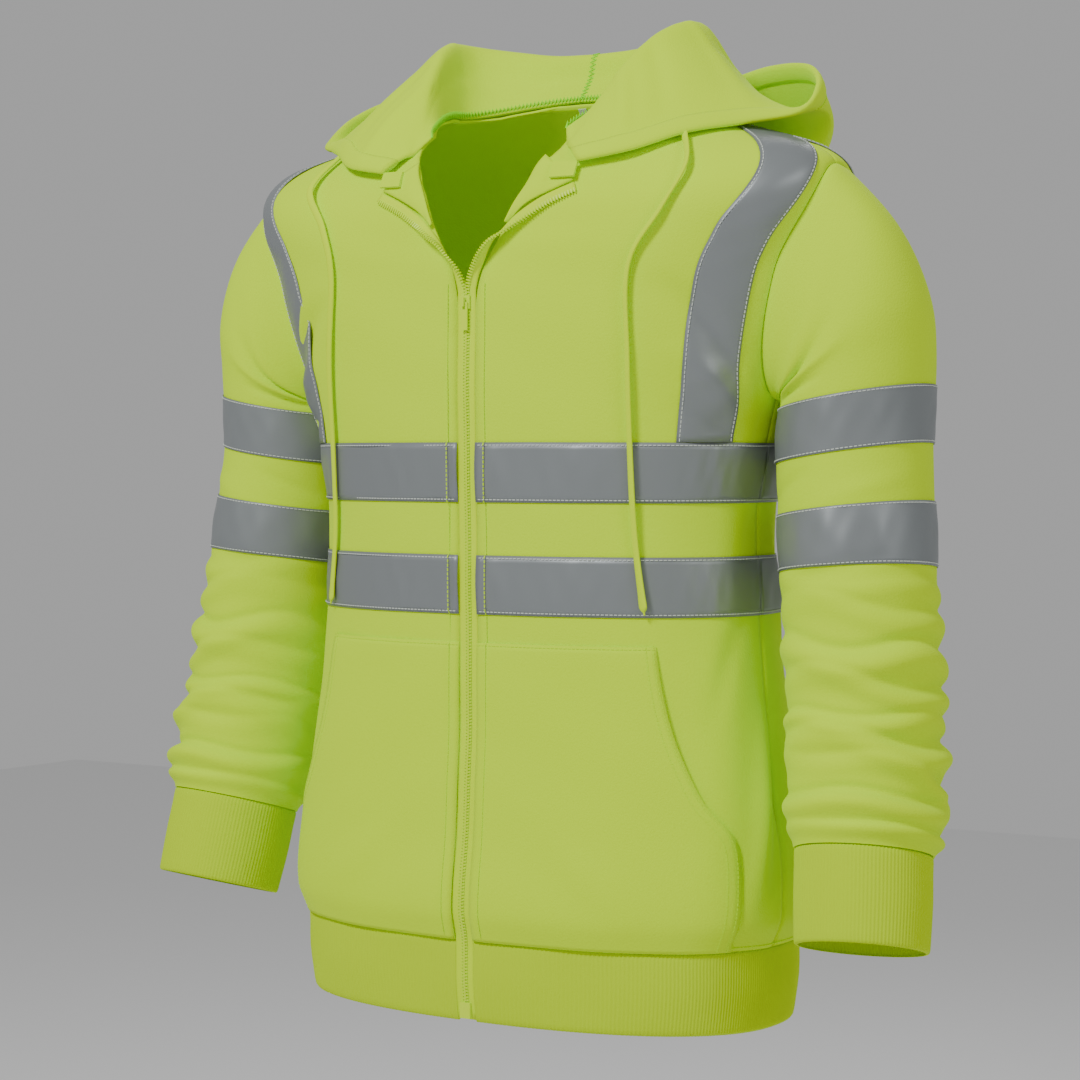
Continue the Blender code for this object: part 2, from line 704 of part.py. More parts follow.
def zip_tapes():
    stations = zip_line()
    outer, inner = [], []
    for k, (edge, normal, turn) in enumerate(stations):
        along = stations[min(k + 1, len(stations) - 1)][0] - stations[max(k - 1, 0)][0]
        across = along.cross(normal).normalized()
        towards = -across * cos(turn) + normal * sin(turn)
        facing = normal * cos(turn) + across * sin(turn)
        line = [edge + towards * (ZIP_TAPE_WIDTH * t) for t in (1.0, 0.5, 0.0)]
        outer.append([p + facing * (ZIP_TAPE / 2) for p in line])
        inner.append([p - facing * (ZIP_TAPE / 2) for p in line])
    both_sides("zip_tape", outer, inner, finish("zip_tape", LIME, 0.7))


def cells(name, xs, depths, heights, filled, material, middle):
    """A closed solid from the filled cells of an uneven grid. depths run out from the garment."""
    form = bmesh.new()
    made = {}

    def corner(i, j, k):
        if (i, j, k) not in made:
            made[i, j, k] = form.verts.new(middle + Vector((xs[i], -depths[j], heights[k])))
        return made[i, j, k]

    full = {(i, j, k) for i in range(len(xs) - 1) for j in range(len(depths) - 1)
            for k in range(len(heights) - 1) if filled(i, j, k)}
    for i, j, k in full:
        for axis in range(3):
            for side in (0, 1):
                beside = [i, j, k]
                beside[axis] += 1 if side else -1
                if tuple(beside) in full:
                    continue
                near = [i, j, k]
                near[axis] += side
                u, v = (axis + 1) % 3, (axis + 2) % 3
                loop = []
                for du, dv in ((0, 0), (1, 0), (1, 1), (0, 1)):
                    at = list(near)
                    at[u] += du
                    at[v] += dv
                    loop.append(corner(*at))
                form.faces.new(loop)
    bmesh.ops.recalc_face_normals(form, faces=form.faces)
    mesh = bpy.data.meshes.new(name)
    form.to_mesh(mesh)
    form.free()
    return keep(mesh, name, material)


# The slider's plate carries a bail, and the pull tab's top bar hangs in the bail's eye.
SLIDER_HEIGHT = 0.586
SLIDER_X = [-0.0040, -0.0008, 0.0008, 0.0040]
SLIDER_DEPTHS = [0.0, 0.0018, 0.0042, 0.0054]
SLIDER_HEIGHTS = [-0.0055, -0.0036, -0.0020, 0.0020, 0.0036, 0.0055]
PULL_PIVOT = Vector((0.0, -0.0030, -0.0008))
PULL_X = [-0.0030, -0.0013, 0.0013, 0.0030]
PULL_DEPTHS = [-0.0006, 0.0006]
PULL_HEIGHTS = [-0.0220, -0.0052, -0.0006, 0.0006]
ZIP_BOX_X = [-0.0050, 0.0050]
ZIP_BOX_DEPTHS = [0.0, 0.0026]
ZIP_BOX_HEIGHTS = [0.0, 0.0130]
ZIP_BOX_FOOT = 0.003


def slider_seat(height):
    """On the closed zip's middle, just clear of its tapes."""
    return body_out(*front_place(0.0005, height), 0.0) + Vector((-0.0005, 0.0002, 0.0))


def zip_hardware():
    seat = slider_seat(SLIDER_HEIGHT)
    cells("zip_slider", SLIDER_X, SLIDER_DEPTHS, SLIDER_HEIGHTS,
          lambda i, j, k: j == 0 or (i == 1 and 1 <= k <= 3 and (j == 2 or k != 2)),
          zip_plastic(), seat)
    cells("zip_pull", PULL_X, PULL_DEPTHS, PULL_HEIGHTS,
          lambda i, j, k: not (i == 1 and k == 1), zip_plastic(), seat + PULL_PIVOT)
    cells("zip_box", ZIP_BOX_X, ZIP_BOX_DEPTHS, ZIP_BOX_HEIGHTS, lambda i, j, k: True,
          zip_plastic(), slider_seat(ZIP_BOX_FOOT + ZIP_BOX_HEIGHTS[1] / 2)
          - Vector((0.0, 0.0, ZIP_BOX_HEIGHTS[1] / 2)))


def zip_tabs():
    """A small folded end of cloth over the top of each half of the zip."""
    inner_x, outer_x = 0.0730, 0.0945
    low, high = 0.6815, 0.6935
    foot, top = 0.0043, 0.0067
    outer, inner = [], []
    for z in (low, (low + high) / 2, high):
        xs = (inner_x, (inner_x + outer_x) / 2, outer_x)
        outer.append([front_at(x, z, top) for x in xs])
        inner.append([front_at(x, z, foot) for x in xs])
    both_sides("zip_tab", outer, inner, fleece())


DRAWSTRING_DIAMETER = 0.005
DRAWSTRING_ROUTE = [
    # level, around_left, around_right, lift
    (0.775, 57.0, 58.0, 0.0042),
    (0.735, 45.0, 43.0, 0.0062),
    (0.690, 36.0, 32.0, 0.0046),
    (0.620, 32.5, 32.0, 0.0040),
    (0.540, 36.0, 38.0, 0.0046),
    (0.460, 40.0, 43.5, 0.0046),
    (0.400, 42.0, 46.0, 0.0042),
    (0.350, 43.5, 47.5, 0.0046),
    (0.335, 44.0, 48.0, 0.0048),
]
DRAWSTRING_STEPS = 5


def drawstring(name, route, sign):
    path = curve_through([body_out(*place) for place in route], DRAWSTRING_STEPS)
    curve = bpy.data.curves.new(name, "CURVE")
    curve.dimensions = "3D"
    curve.bevel_depth = DRAWSTRING_DIAMETER / 2
    curve.bevel_resolution = 2
    curve.use_fill_caps = True
    line = curve.splines.new("POLY")
    line.points.add(len(path) - 1)
    for point, p in zip(line.points, path):
        point.co = (p.x * sign, p.y, p.z, 1.0)
    curve.materials.append(finish("lime_cord", LIME, 0.75))
    bpy.data.collections["hoodie"].objects.link(bpy.data.objects.new(name, curve))


def drawstrings():
    """Two free ends that leave the hood's channel and lie down the chest."""
    drawstring("drawstring_left", [(level, left, lift) for level, left, _, lift
                                   in DRAWSTRING_ROUTE], 1)
    drawstring("drawstring_right", [(level, right, lift) for level, _, right, lift
                                    in DRAWSTRING_ROUTE], -1)


def neck_label():
    """A blank label that hangs inside, just under the back neck seam."""
    half_angle = 2.4
    rows = [[(180.0 + half_angle * c, level) for c in (-1, 0, 1)]
            for level in (0.829, 0.843, 0.857)]
    on_body("neck_label", rows, -FLEECE - 0.0014, -FLEECE - 0.0010,
            finish("white_label", WHITE, 0.8))


def main():
    clear_scene()
    bpy.context.scene.collection.children.link(bpy.data.collections.new("hoodie"))
    body_panels()
    body_tapes()
    shoulder_tapes()
    pockets()
    hem_rib()
    sleeves()
    cuffs()
    hood()
    lapels()
    zip_tapes()
    zip_hardware()
    zip_tabs()
    drawstrings()
    neck_label()


main()
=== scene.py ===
"""A high-visibility hoodie in its worn form: fleece, rib knit, reflective tape, a zip and cords."""

import bpy
import numpy as np
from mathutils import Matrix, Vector


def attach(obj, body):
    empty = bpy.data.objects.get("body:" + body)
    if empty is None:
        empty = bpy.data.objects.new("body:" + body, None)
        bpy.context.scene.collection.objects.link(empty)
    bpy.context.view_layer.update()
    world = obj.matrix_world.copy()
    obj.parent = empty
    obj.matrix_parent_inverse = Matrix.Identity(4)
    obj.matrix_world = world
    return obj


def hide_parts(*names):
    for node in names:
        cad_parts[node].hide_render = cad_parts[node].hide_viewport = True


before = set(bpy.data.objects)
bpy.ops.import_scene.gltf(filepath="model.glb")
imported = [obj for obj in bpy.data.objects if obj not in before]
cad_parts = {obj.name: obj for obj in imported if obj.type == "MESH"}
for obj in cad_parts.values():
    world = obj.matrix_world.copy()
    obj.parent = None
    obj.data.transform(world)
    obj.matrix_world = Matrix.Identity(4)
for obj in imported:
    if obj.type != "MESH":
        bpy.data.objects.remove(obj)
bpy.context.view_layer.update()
BODY = "hoodie"

# ---- Camera, at the photograph's angle ----
AZIMUTH, ELEVATION = np.radians(33.0), np.radians(1.8)
DISTANCE = 2.4
AIM = Vector((-0.0056, 0.0, -0.357))
FOCAL_PIXELS, FRAME_PIXELS, SENSOR = 2830.0, 1080.0, 36.0


def placed(name, data):
    """A new object in the scene."""
    thing = bpy.data.objects.new(name, data)
    bpy.context.scene.collection.objects.link(thing)
    return thing


def make_camera():
    back = Vector((np.sin(AZIMUTH) * np.cos(ELEVATION), -np.cos(AZIMUTH) * np.cos(ELEVATION),
                   np.sin(ELEVATION)))
    lens = bpy.data.cameras.new("camera")
    lens.sensor_width = SENSOR
    lens.lens = FOCAL_PIXELS / FRAME_PIXELS * SENSOR
    camera = placed("camera", lens)
    camera.location = AIM + back * DISTANCE
    camera.rotation_euler = back.to_track_quat("Z", "Y").to_euler()
    bpy.context.scene.camera = camera


make_camera()

# ---- Sizes, in metres, heights measured up from the bottom of the hem ----
NECK_HEIGHT = 0.747
FLEECE = 0.0022
TAPE_WIDTH = 0.048
HEM_HEIGHT = 0.067
POCKET_TOP = 0.310
WAIST_TAPE_FOOT = 0.333
CHEST_TAPE_FOOT = 0.424
ARMPIT_LEVEL = 0.507
SHOULDER_LEVEL = 0.704
NECK_LEVEL = 0.862
V_FOOT_LEVEL = 0.607
ZIP_HALF_GAP = 0.0090
NECK_CORNER_X = 0.070

BODY_RINGS = [
    # level, half_width, front, back, side_height, front_height, back_height, squareness
    (0.000, 0.221, 0.118, 0.138, 0.000, 0.000, 0.000, 2.3),
    (0.034, 0.226, 0.121, 0.141, 0.034, 0.034, 0.034, 2.3),
    (0.0675, 0.227, 0.122, 0.142, 0.0675, 0.0675, 0.0675, 2.3),
    (0.092, 0.235, 0.127, 0.149, 0.092, 0.092, 0.092, 2.3),
    (0.154, 0.232, 0.121, 0.145, 0.154, 0.154, 0.154, 2.3),
    (0.240, 0.218, 0.116, 0.134, 0.240, 0.240, 0.240, 2.3),
    (0.328, 0.207, 0.116, 0.128, 0.328, 0.328, 0.328, 2.3),
    (0.424, 0.205, 0.117, 0.128, 0.424, 0.424, 0.424, 2.3),
    (0.507, 0.222, 0.119, 0.132, 0.507, 0.507, 0.507, 2.3),
    (0.607, 0.254, 0.118, 0.132, 0.607, 0.600, 0.604, 2.4),
    (0.704, 0.274, 0.114, 0.121, 0.694, 0.646, 0.680, 2.4),
    (0.782, 0.190, 0.108, 0.094, 0.728, 0.678, 0.728, 2.2),
    (0.862, 0.088, 0.104, 0.058, 0.750, 0.698, 0.764, 2.0),
]


def eased(table, place):
    """The columns of a table at many places, on a smooth curve through its rows."""
    rows = np.array(table, float)
    keys, values = rows[:, 0], rows[:, 1:]
    last = len(keys) - 1
    place = np.asarray(place, float)
    k = np.searchsorted(keys[1:-1], place)
    span = keys[k + 1] - keys[k]
    t = np.clip((place - keys[k]) / span, 0.0, 1.0)[..., None]
    after = np.minimum(np.arange(last + 1) + 1, last)
    before = np.maximum(np.arange(last + 1) - 1, 0)
    slopes = (values[after] - values[before]) / (keys[after] - keys[before])[:, None]
    span = span[..., None]
    found = (values[k] * (2 * t**3 - 3 * t**2 + 1) + slopes[k] * span * (t**3 - 2 * t**2 + t)
             + values[k + 1] * (3 * t**2 - 2 * t**3) + slopes[k + 1] * span * (t**3 - t**2))
    return np.moveaxis(found, -1, 0)


def unit(v):
    return v / np.maximum(np.linalg.norm(v, axis=-1, keepdims=True), 1e-12)


def body_point(level, around):
    """Points of the cloth's outer face. around is 0 at the front, 90 at +X and 180 at the back."""
    level, around = np.broadcast_arrays(np.asarray(level, float), np.asarray(around, float))
    half_width, front, back, z_side, z_front, z_back, square = eased(BODY_RINGS, level)
    s, c = np.sin(np.radians(around)), np.cos(np.radians(around))
    swell = (np.abs(s) ** square + np.abs(c) ** square) ** (-1 / square)
    depth = np.where(c > 0, front, back)
    height = z_side * s * s + np.where(c > 0, z_front, z_back) * c * c
    return np.stack([half_width * s * swell, -depth * c * swell, height - NECK_HEIGHT], axis=-1)


def body_normal(level, around):
    up = body_point(np.minimum(level + 0.002, NECK_LEVEL), around) - body_point(level - 0.002, around)
    on = body_point(level, around + 0.4) - body_point(level, around - 0.4)
    return unit(np.cross(on, up))


def through(values, steps):
    """A smooth run through values along their first axis, steps to a stretch."""
    values = np.asarray(values, float)
    ends = np.concatenate([2 * values[:1] - values[1:2], values, 2 * values[-1:] - values[-2:-1]])
    a, b, c, d = ends[:-3], ends[1:-2], ends[2:-1], ends[3:]
    found = []
    for t in np.arange(steps) / steps:
        found.append(0.5 * (2 * b + (c - a) * t + (2 * a - 5 * b + 4 * c - d) * t * t
                            + (3 * b - 3 * c + d - a) * t**3))
    found = np.stack(found, axis=1).reshape(-1, *values.shape[1:])
    return np.concatenate([found, values[-1:]])


def finer(grid, up, on):
    """A grid made finer along its rows' and its columns' way."""
    return np.swapaxes(through(np.swapaxes(through(grid, up), 0, 1), on), 0, 1)


# ---- The cut: rows of (around, level) for each panel, for +X ----
LOW_LEVELS = [0.0675, 0.085, 0.112, 0.154, 0.183, 0.214, 0.247, 0.280, POCKET_TOP,
              WAIST_TAPE_FOOT, WAIST_TAPE_FOOT + TAPE_WIDTH, CHEST_TAPE_FOOT,
              CHEST_TAPE_FOOT + TAPE_WIDTH]
CHEST_TOP_ROW = len(LOW_LEVELS) - 1
ARMHOLE_STEPS = 9
ARMHOLE_FRONT_REACH = 22.0
ARMHOLE_BACK_REACH = 28.0
SEAM_ANGLE = 0.09
SIDE_SEAM_DRIFT = 8.0
FRONT_LOW_LINES = [
    # level, neck_line, tape_inner_or_pocket_mouth, tape_outer
    (0.0674, 28.0, 64.0, 75.0),
    (0.1541, 28.0, 64.5, 75.0),
    (0.183, 27.0, 56.0, 71.0),
    (0.2138, 26.0, 51.5, 69.0),
    (0.2466, 25.0, 48.5, 68.0),
    (0.3102, 25.0, 46.5, 68.0),
    (0.3853, 25.0, 49.0, 69.0),
    (0.472, 25.0, 51.0, 70.0),
    (0.507, 25.0, 50.0, 68.0),
]
FRONT_HIGH_LINES = [
    # way_up, neck_around, neck_level, inner_around, inner_level, outer_around, outer_level
    (0.00, 25.0, 0.507, 50.0, 0.507, 68.0, 0.507),
    (0.30, 25.0, 0.587, 47.0, 0.572, 63.0, 0.562),
    (0.50, 31.0, 0.657, 46.5, 0.624, 61.5, 0.610),
    (0.70, 43.0, 0.740, 50.0, 0.680, 65.0, 0.658),
    (0.85, 62.0, 0.812, 65.0, 0.738, 76.0, 0.702),
    (1.00, 90.0, 0.862, 90.0, 0.796, 90.0, 0.744),
]
BACK_LOW_LINES = [
    # level, neck_line, tape_inner, tape_outer
    (0.0674, 152.0, 129.0, 112.0),
    (0.507, 152.0, 131.0, 113.0),
]
BACK_HIGH_LINES = [
    (0.00, 152.0, 0.507, 131.0, 0.507, 113.0, 0.507),
    (0.30, 152.0, 0.602, 137.0, 0.572, 121.0, 0.562),
    (0.50, 149.0, 0.672, 138.0, 0.624, 123.5, 0.610),
    (0.70, 138.0, 0.747, 131.0, 0.680, 118.0, 0.658),
    (0.85, 117.0, 0.814, 113.0, 0.738, 105.0, 0.702),
    (1.00, 90.0, 0.862, 90.0, 0.796, 90.0, 0.744),
]
COLUMNS = [3, 2, 2, 2]
TAPE_INNER, TAPE_OUTER = 5, 7


def armhole(way_up, reach):
    t = (1 - np.cos(np.pi * way_up)) / 2
    level = ARMPIT_LEVEL + (SHOULDER_LEVEL - ARMPIT_LEVEL) * t
    return 90.0 + reach * np.sqrt(np.maximum(0.0, 1 - (2 * t - 1) ** 2)), level


def front_edge(level):
    past = np.maximum(0.0, (level - V_FOOT_LEVEL) / (NECK_LEVEL - V_FOOT_LEVEL))
    out = ZIP_HALF_GAP + (NECK_CORNER_X - ZIP_HALF_GAP) * past**0.9
    return np.degrees(np.arcsin(np.minimum(1.0, out / eased(BODY_RINGS, level)[0])))


def spread(knots):
    found = [knots[0]]
    for (a, b), count in zip(zip(knots, knots[1:]), COLUMNS):
        for k in range(1, count + 1):
            t = k / count
            found.append((a[0] + (b[0] - a[0]) * t, a[1] + (b[1] - a[1]) * t))
    return found


def half_panel(side):
    front = side == "front"
    sign = -1 if front else 1
    low = FRONT_LOW_LINES if front else BACK_LOW_LINES
    high = FRONT_HIGH_LINES if front else BACK_HIGH_LINES
    reach = -ARMHOLE_FRONT_REACH if front else ARMHOLE_BACK_REACH
    rows = []
    for level in LOW_LEVELS:
        neck, inner, outer = eased(low, level)
        middle = float(front_edge(level)) if front else 180.0
        drift = SIDE_SEAM_DRIFT * max(0.0, (WAIST_TAPE_FOOT - level) / WAIST_TAPE_FOOT)
        edge = 90.0 - drift + sign * SEAM_ANGLE
        rows.append(spread([(middle, level), (neck, level), (inner, level), (outer, level),
                            (edge, level)]))
    for k in range(ARMHOLE_STEPS + 1):
        way = k / ARMHOLE_STEPS
        na, nl, ia, il, oa, ol = eased(high, way)
        edge_around, edge_level = armhole(way, reach)
        middle_level = ARMPIT_LEVEL + (NECK_LEVEL - ARMPIT_LEVEL) * way
        middle = float(front_edge(middle_level)) if front else 180.0
        knots = [(middle, middle_level), (na, nl), (ia, il), (oa, ol), (edge_around, edge_level)]
        limit = 90.0 + sign * SEAM_ANGLE
        held = min if front else max
        rows.append(spread([(held(a, limit), level) for a, level in knots]))
    return np.array(rows, float)


def other_side(rows):
    """The same rows for -X, still running the way around grows."""
    found = rows[:, ::-1].copy()
    found[..., 0] = 360.0 - found[..., 0]
    return found


FRONT = half_panel("front")
BACK_HALF = half_panel("back")
BACK = np.concatenate([BACK_HALF[:, ::-1], other_side(BACK_HALF)[:, ::-1][:, 1:]], axis=1)

# ---- Creases of the body, as soft troughs (depth below 0) and ridges ----
BODY_CREASES = [
    # around, level, to_around, to_level, depth, half_width
    (64.0, 0.530, 40.0, 0.600, -0.0030, 0.010),
    (68.0, 0.500, 47.0, 0.545, 0.0022, 0.009),
    (72.0, 0.470, 52.0, 0.500, -0.0022, 0.009),
    (296.0, 0.530, 322.0, 0.590, -0.0030, 0.010),
    (292.0, 0.498, 312.0, 0.540, 0.0022, 0.009),
    (288.0, 0.465, 306.0, 0.492, -0.0020, 0.009),
    (84.0, 0.240, 70.0, 0.110, 0.0035, 0.016),
    (92.0, 0.260, 80.0, 0.120, -0.0035, 0.012),
    (76.0, 0.330, 60.0, 0.250, -0.0020, 0.012),
    (276.0, 0.240, 292.0, 0.110, 0.0035, 0.016),
    (268.0, 0.260, 280.0, 0.120, -0.0035, 0.012),
    (20.0, 0.150, 36.0, 0.100, 0.0016, 0.014),
    (340.0, 0.140, 322.0, 0.098, 0.0016, 0.014),
    (118.0, 0.560, 140.0, 0.470, -0.0030, 0.012),
    (242.0, 0.560, 220.0, 0.470, -0.0030, 0.012),
    (110.0, 0.520, 128.0, 0.410, 0.0024, 0.012),
    (250.0, 0.520, 232.0, 0.410, 0.0024, 0.012),
    (112.0, 0.230, 150.0, 0.140, -0.0032, 0.014),
    (248.0, 0.220, 212.0, 0.150, -0.0032, 0.014),
    (130.0, 0.130, 170.0, 0.105, 0.0030, 0.012),
    (225.0, 0.135, 192.0, 0.100, 0.0030, 0.012),
    (100.0, 0.400, 116.0, 0.300, 0.0020, 0.013),
    (260.0, 0.400, 244.0, 0.290, 0.0020, 0.013),
]
CREASE_STRENGTH = 1.45
METRES_A_DEGREE = 0.0036
UNEVENNESS = 0.0006


def creased(u, v, table):
    """How far the cloth stands out at (u, v), both in metres, through soft lines between points."""
    rise = np.zeros(np.broadcast(u, v).shape)
    for u0, v0, u1, v1, depth, half_width in table:
        du, dv = u1 - u0, v1 - v0
        long = du * du + dv * dv
        t = ((u - u0) * du + (v - v0) * dv) / long
        held = np.clip(t, 0.0, 1.0)
        off = (u - u0 - held * du) ** 2 + (v - v0 - held * dv) ** 2
        rise = rise + depth * np.exp(-off / half_width**2) * np.sin(np.pi * (0.12 + 0.76 * held))
    return rise


def in_metres(table, across, along=1.0, strength=1.0):
    """A table of creases with its first and second coordinates made metres, and its depths scaled."""
    return [(a * across, b * along, c * across, d * along, e * strength, f)
            for a, b, c, d, e, f in table]


def body_lift(level, around):
    """How far the cloth stands out of the rings: its creases and a soft unevenness."""
    table = in_metres(BODY_CREASES, METRES_A_DEGREE, strength=CREASE_STRENGTH)
    soft = UNEVENNESS * np.sin(around * 0.19 + level * 31) * np.sin(level * 47 - around * 0.07)
    return creased(around * METRES_A_DEGREE, level, table) + soft


def on_body(level, around, lift=0.0):
    level, around = np.asarray(level, float), np.asarray(around, float)
    rise = body_lift(level, around) + lift
    return body_point(level, around) + body_normal(level, around) * np.asarray(rise)[..., None]


# ---- Finishes ----
LIME = (0.58, 0.86, 0.0, 1.0)
RIB_LIME = (0.50, 0.72, 0.0, 1.0)
ZIP_LIME = (0.62, 0.86, 0.002, 1.0)
SILVER = (0.23, 0.25, 0.255, 1.0)
THREAD_GREY = (0.62, 0.66, 0.60, 1.0)
WHITE = (0.86, 0.86, 0.84, 1.0)


def finish(name, colour, roughness, metallic=0.0, glow=0.0, grain=None, sheen=0.0, gloss=0.1):
    """A finish with constant colours. grain is (size in metres, depth in metres) of a fine bump. glow is
    a painted glow: emission in the finish's own colour, so the surface gives off light though it is no
    lamp.
    """
    made = bpy.data.materials.new(name)
    made.use_nodes = True
    nodes, links = made.node_tree.nodes, made.node_tree.links
    shader = nodes["Principled BSDF"]
    shader.inputs["Base Color"].default_value = colour
    shader.inputs["Roughness"].default_value = roughness
    shader.inputs["Metallic"].default_value = metallic
    shader.inputs["Specular IOR Level"].default_value = gloss
    shader.inputs["Sheen Weight"].default_value = sheen
    shader.inputs["Sheen Roughness"].default_value = 0.5
    # painted glow: the surface emits its own colour, which brightens it as if it were lit
    shader.inputs["Emission Color"].default_value = colour
    shader.inputs["Emission Strength"].default_value = glow
    if grain:
        size, depth = grain
        place = nodes.new("ShaderNodeTexCoord")
        noise = nodes.new("ShaderNodeTexNoise")
        noise.inputs["Scale"].default_value = 1.0 / size
        noise.inputs["Detail"].default_value = 3.0
        bump = nodes.new("ShaderNodeBump")
        bump.inputs["Distance"].default_value = depth
        bump.inputs["Strength"].default_value = 0.6
        links.new(place.outputs["Object"], noise.inputs["Vector"])
        links.new(noise.outputs["Fac"], bump.inputs["Height"])
        links.new(bump.outputs["Normal"], shader.inputs["Normal"])
    return made


# painted glow: a faint emission that makes the lime cloth, rib, thread, zip, plastic and cord give off
# light
GLOW = 0.03
FLEECE_LOOK = finish("fleece", LIME, 0.92, glow=GLOW, grain=(0.0016, 0.0005), sheen=0.04)
RIB_LOOK = finish("rib", RIB_LIME, 0.9, glow=GLOW, grain=(0.0012, 0.0003), sheen=0.03)
TAPE_LOOK = finish("tape", SILVER, 0.44, metallic=0.35, grain=(0.0009, 0.00006), gloss=0.5)
THREAD_LOOK = finish("thread", LIME, 0.7, glow=GLOW)
# the overlock thread is a greener lime with a stronger painted glow than the other lime pieces
OVERLOCK_LOOK = finish("overlock", (0.30, 0.86, 0.0, 1.0), 0.6, glow=0.1)
TAPE_THREAD_LOOK = finish("tape_thread", THREAD_GREY, 0.6)
ZIP_TAPE_LOOK = finish("zip_cloth", ZIP_LIME, 0.75, glow=GLOW, grain=(0.0008, 0.0002))
PLASTIC_LOOK = finish("plastic", ZIP_LIME, 0.38, glow=GLOW, gloss=0.45)
CORD_LOOK = finish("cord", ZIP_LIME, 0.75, glow=GLOW, grain=(0.0010, 0.0003))
LABEL_LOOK = finish("label", WHITE, 0.85)


# ---- Making cloth ----
def mesh_from(name, points, faces, look, replaced=()):
    mesh = bpy.data.meshes.new(name)
    mesh.from_pydata([tuple(p) for p in points], [], [tuple(int(i) for i in f) for f in faces])
    mesh.shade_smooth()
    mesh.materials.append(look)
    thing = placed(name, mesh)
    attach(thing, BODY)
    if replaced:
        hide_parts(*replaced)
    return thing


def grid_faces(rows, columns, tube=False):
    steps = columns if tube else columns - 1
    r, c = np.meshgrid(np.arange(rows - 1), np.arange(steps), indexing="ij")
    n = (c + 1) % columns
    return np.stack([r * columns + c, r * columns + n, (r + 1) * columns + n,
                     (r + 1) * columns + c], axis=-1).reshape(-1, 4)


def facing(grid, tube=False):
    """Outward directions at the points of a grid."""
    up = np.empty_like(grid)
    up[1:-1] = grid[2:] - grid[:-2]
    up[0], up[-1] = grid[1] - grid[0], grid[-1] - grid[-2]
    if tube:
        on = np.roll(grid, -1, axis=1) - np.roll(grid, 1, axis=1)
    else:
        on = np.empty_like(grid)
        on[:, 1:-1] = grid[:, 2:] - grid[:, :-2]
        on[:, 0], on[:, -1] = grid[:, 1] - grid[:, 0], grid[:, -1] - grid[:, -2]
    return unit(np.cross(on, up))


def shell(name, grid, thickness, look, replaced=(), tube=False, normals=None):
    """A thin wall whose outer face is the grid, closed round its edges."""
    rows, columns = grid.shape[:2]
    normals = facing(grid, tube) if normals is None else normals
    inner = grid - normals * thickness
    count = rows * columns
    points = np.concatenate([grid.reshape(-1, 3), inner.reshape(-1, 3)])
    front = grid_faces(rows, columns, tube)
    back = front[:, ::-1] + count
    rims = []
    steps = columns if tube else columns - 1
    for c in range(steps):
        n = (c + 1) % columns
        rims.append((n, c, c + count, n + count))
        low = (rows - 1) * columns
        rims.append((low + c, low + n, low + n + count, low + c + count))
    if not tube:
        for r in range(rows - 1):
            a, b = r * columns, (r + 1) * columns
            rims.append((a, b, b + count, a + count))
            rims.append((b + columns - 1, a + columns - 1, a + columns - 1 + count,
                         b + columns - 1 + count))
    faces = np.concatenate([front, back, np.array(rims)])
    return mesh_from(name, points, faces, look, replaced)


def flipped(grid):
    """The grid on the other side of the body, its columns still running the same way round."""
    found = grid[:, ::-1].copy()
    found[..., 0] *= -1
    return found


def both_shells(name, grid, thickness, look, replaced, tube=False, normals=None,
                ending="cloth"):
    """The +X piece and its mirror image."""
    for side in ("left", "right"):
        made, outward = grid, normals
        if side == "right":
            made = flipped(grid)
            outward = None if normals is None else flipped(normals)
        thing = shell(f"{name}_{side}_{ending}", made, thickness, look,
                      (f"{replaced}_{side}",), tube, outward)


SEAM_DIP = 0.0007


def rolled(lift_rows, lift_columns, shape):
    """A dip of the cloth towards its seams."""
    rows, columns = shape
    r = np.minimum(np.arange(rows), rows - 1 - np.arange(rows))[:, None] / lift_rows
    c = np.minimum(np.arange(columns), columns - 1 - np.arange(columns))[None, :] / lift_columns
    return -SEAM_DIP * (np.exp(-r * r) + np.exp(-c * c))


# ---- Fronts, back, tapes on them ----
UP, ON = 5, 4


def panel(rows):
    fine = finer(rows, UP, ON)
    return on_body(fine[..., 1], fine[..., 0], rolled(1.2, 1.0, fine.shape[:2]))


def body_panels():
    for side, rows in (("left", FRONT), ("right", other_side(FRONT))):
        thing = shell(f"front_{side}_cloth", panel(rows), FLEECE, FLEECE_LOOK,
                      (f"front_{side}",))
    thing = shell("back_cloth", panel(BACK), FLEECE, FLEECE_LOOK, ("back",))


TAPE_LIFT = 0.0011
TAPE = 0.0008
CRUMPLE = 0.0006
CRUMPLE_WAVES = 11
CROSS_WAVES = 17


def crumple(rows, columns):
    """How far a tape stands off the cloth between its two sewn edges, along its columns."""
    across = np.linspace(0, 1, rows)[:, None]
    along = 2 * np.pi * (np.arange(columns) / columns)[None, :]
    waves = (np.sin(CRUMPLE_WAVES * along + 4 * across)
             + 0.8 * np.sin(CROSS_WAVES * along - 5 * across))
    slow = 0.6 + 0.4 * np.sin(3 * along + 1.0)
    return CRUMPLE * np.sin(np.pi * across) * slow * (1.8 + waves)


def strip(name, rows, replaced):
    fine = finer(rows, 8, 6)
    lift = TAPE_LIFT + crumple(*fine.shape[:2])
    thing = shell(name, on_body(fine[..., 1], fine[..., 0], lift), TAPE, TAPE_LOOK,
                  (replaced,))


def body_tapes():
    for words, foot in (("waist", WAIST_TAPE_FOOT), ("chest", CHEST_TAPE_FOOT)):
        row = LOW_LEVELS.index(foot)
        front = FRONT[row:row + 2]
        for side, part, length in (("left", front, 0.262), ("right", other_side(front), 0.262),
                                   ("back", BACK[row:row + 2], 0.54)):
            strip(f"{words}_tape_{side}_band", part, f"tape_{words}_{side}")


def shoulder_rows():
    up = FRONT[CHEST_TOP_ROW:, TAPE_INNER:TAPE_OUTER + 1].copy()
    down = BACK_HALF[CHEST_TOP_ROW:, TAPE_INNER:TAPE_OUTER + 1][::-1].copy()
    up[0, :, 1] += 0.0004
    down[-1, :, 1] += 0.0004
    return np.concatenate([up, down])


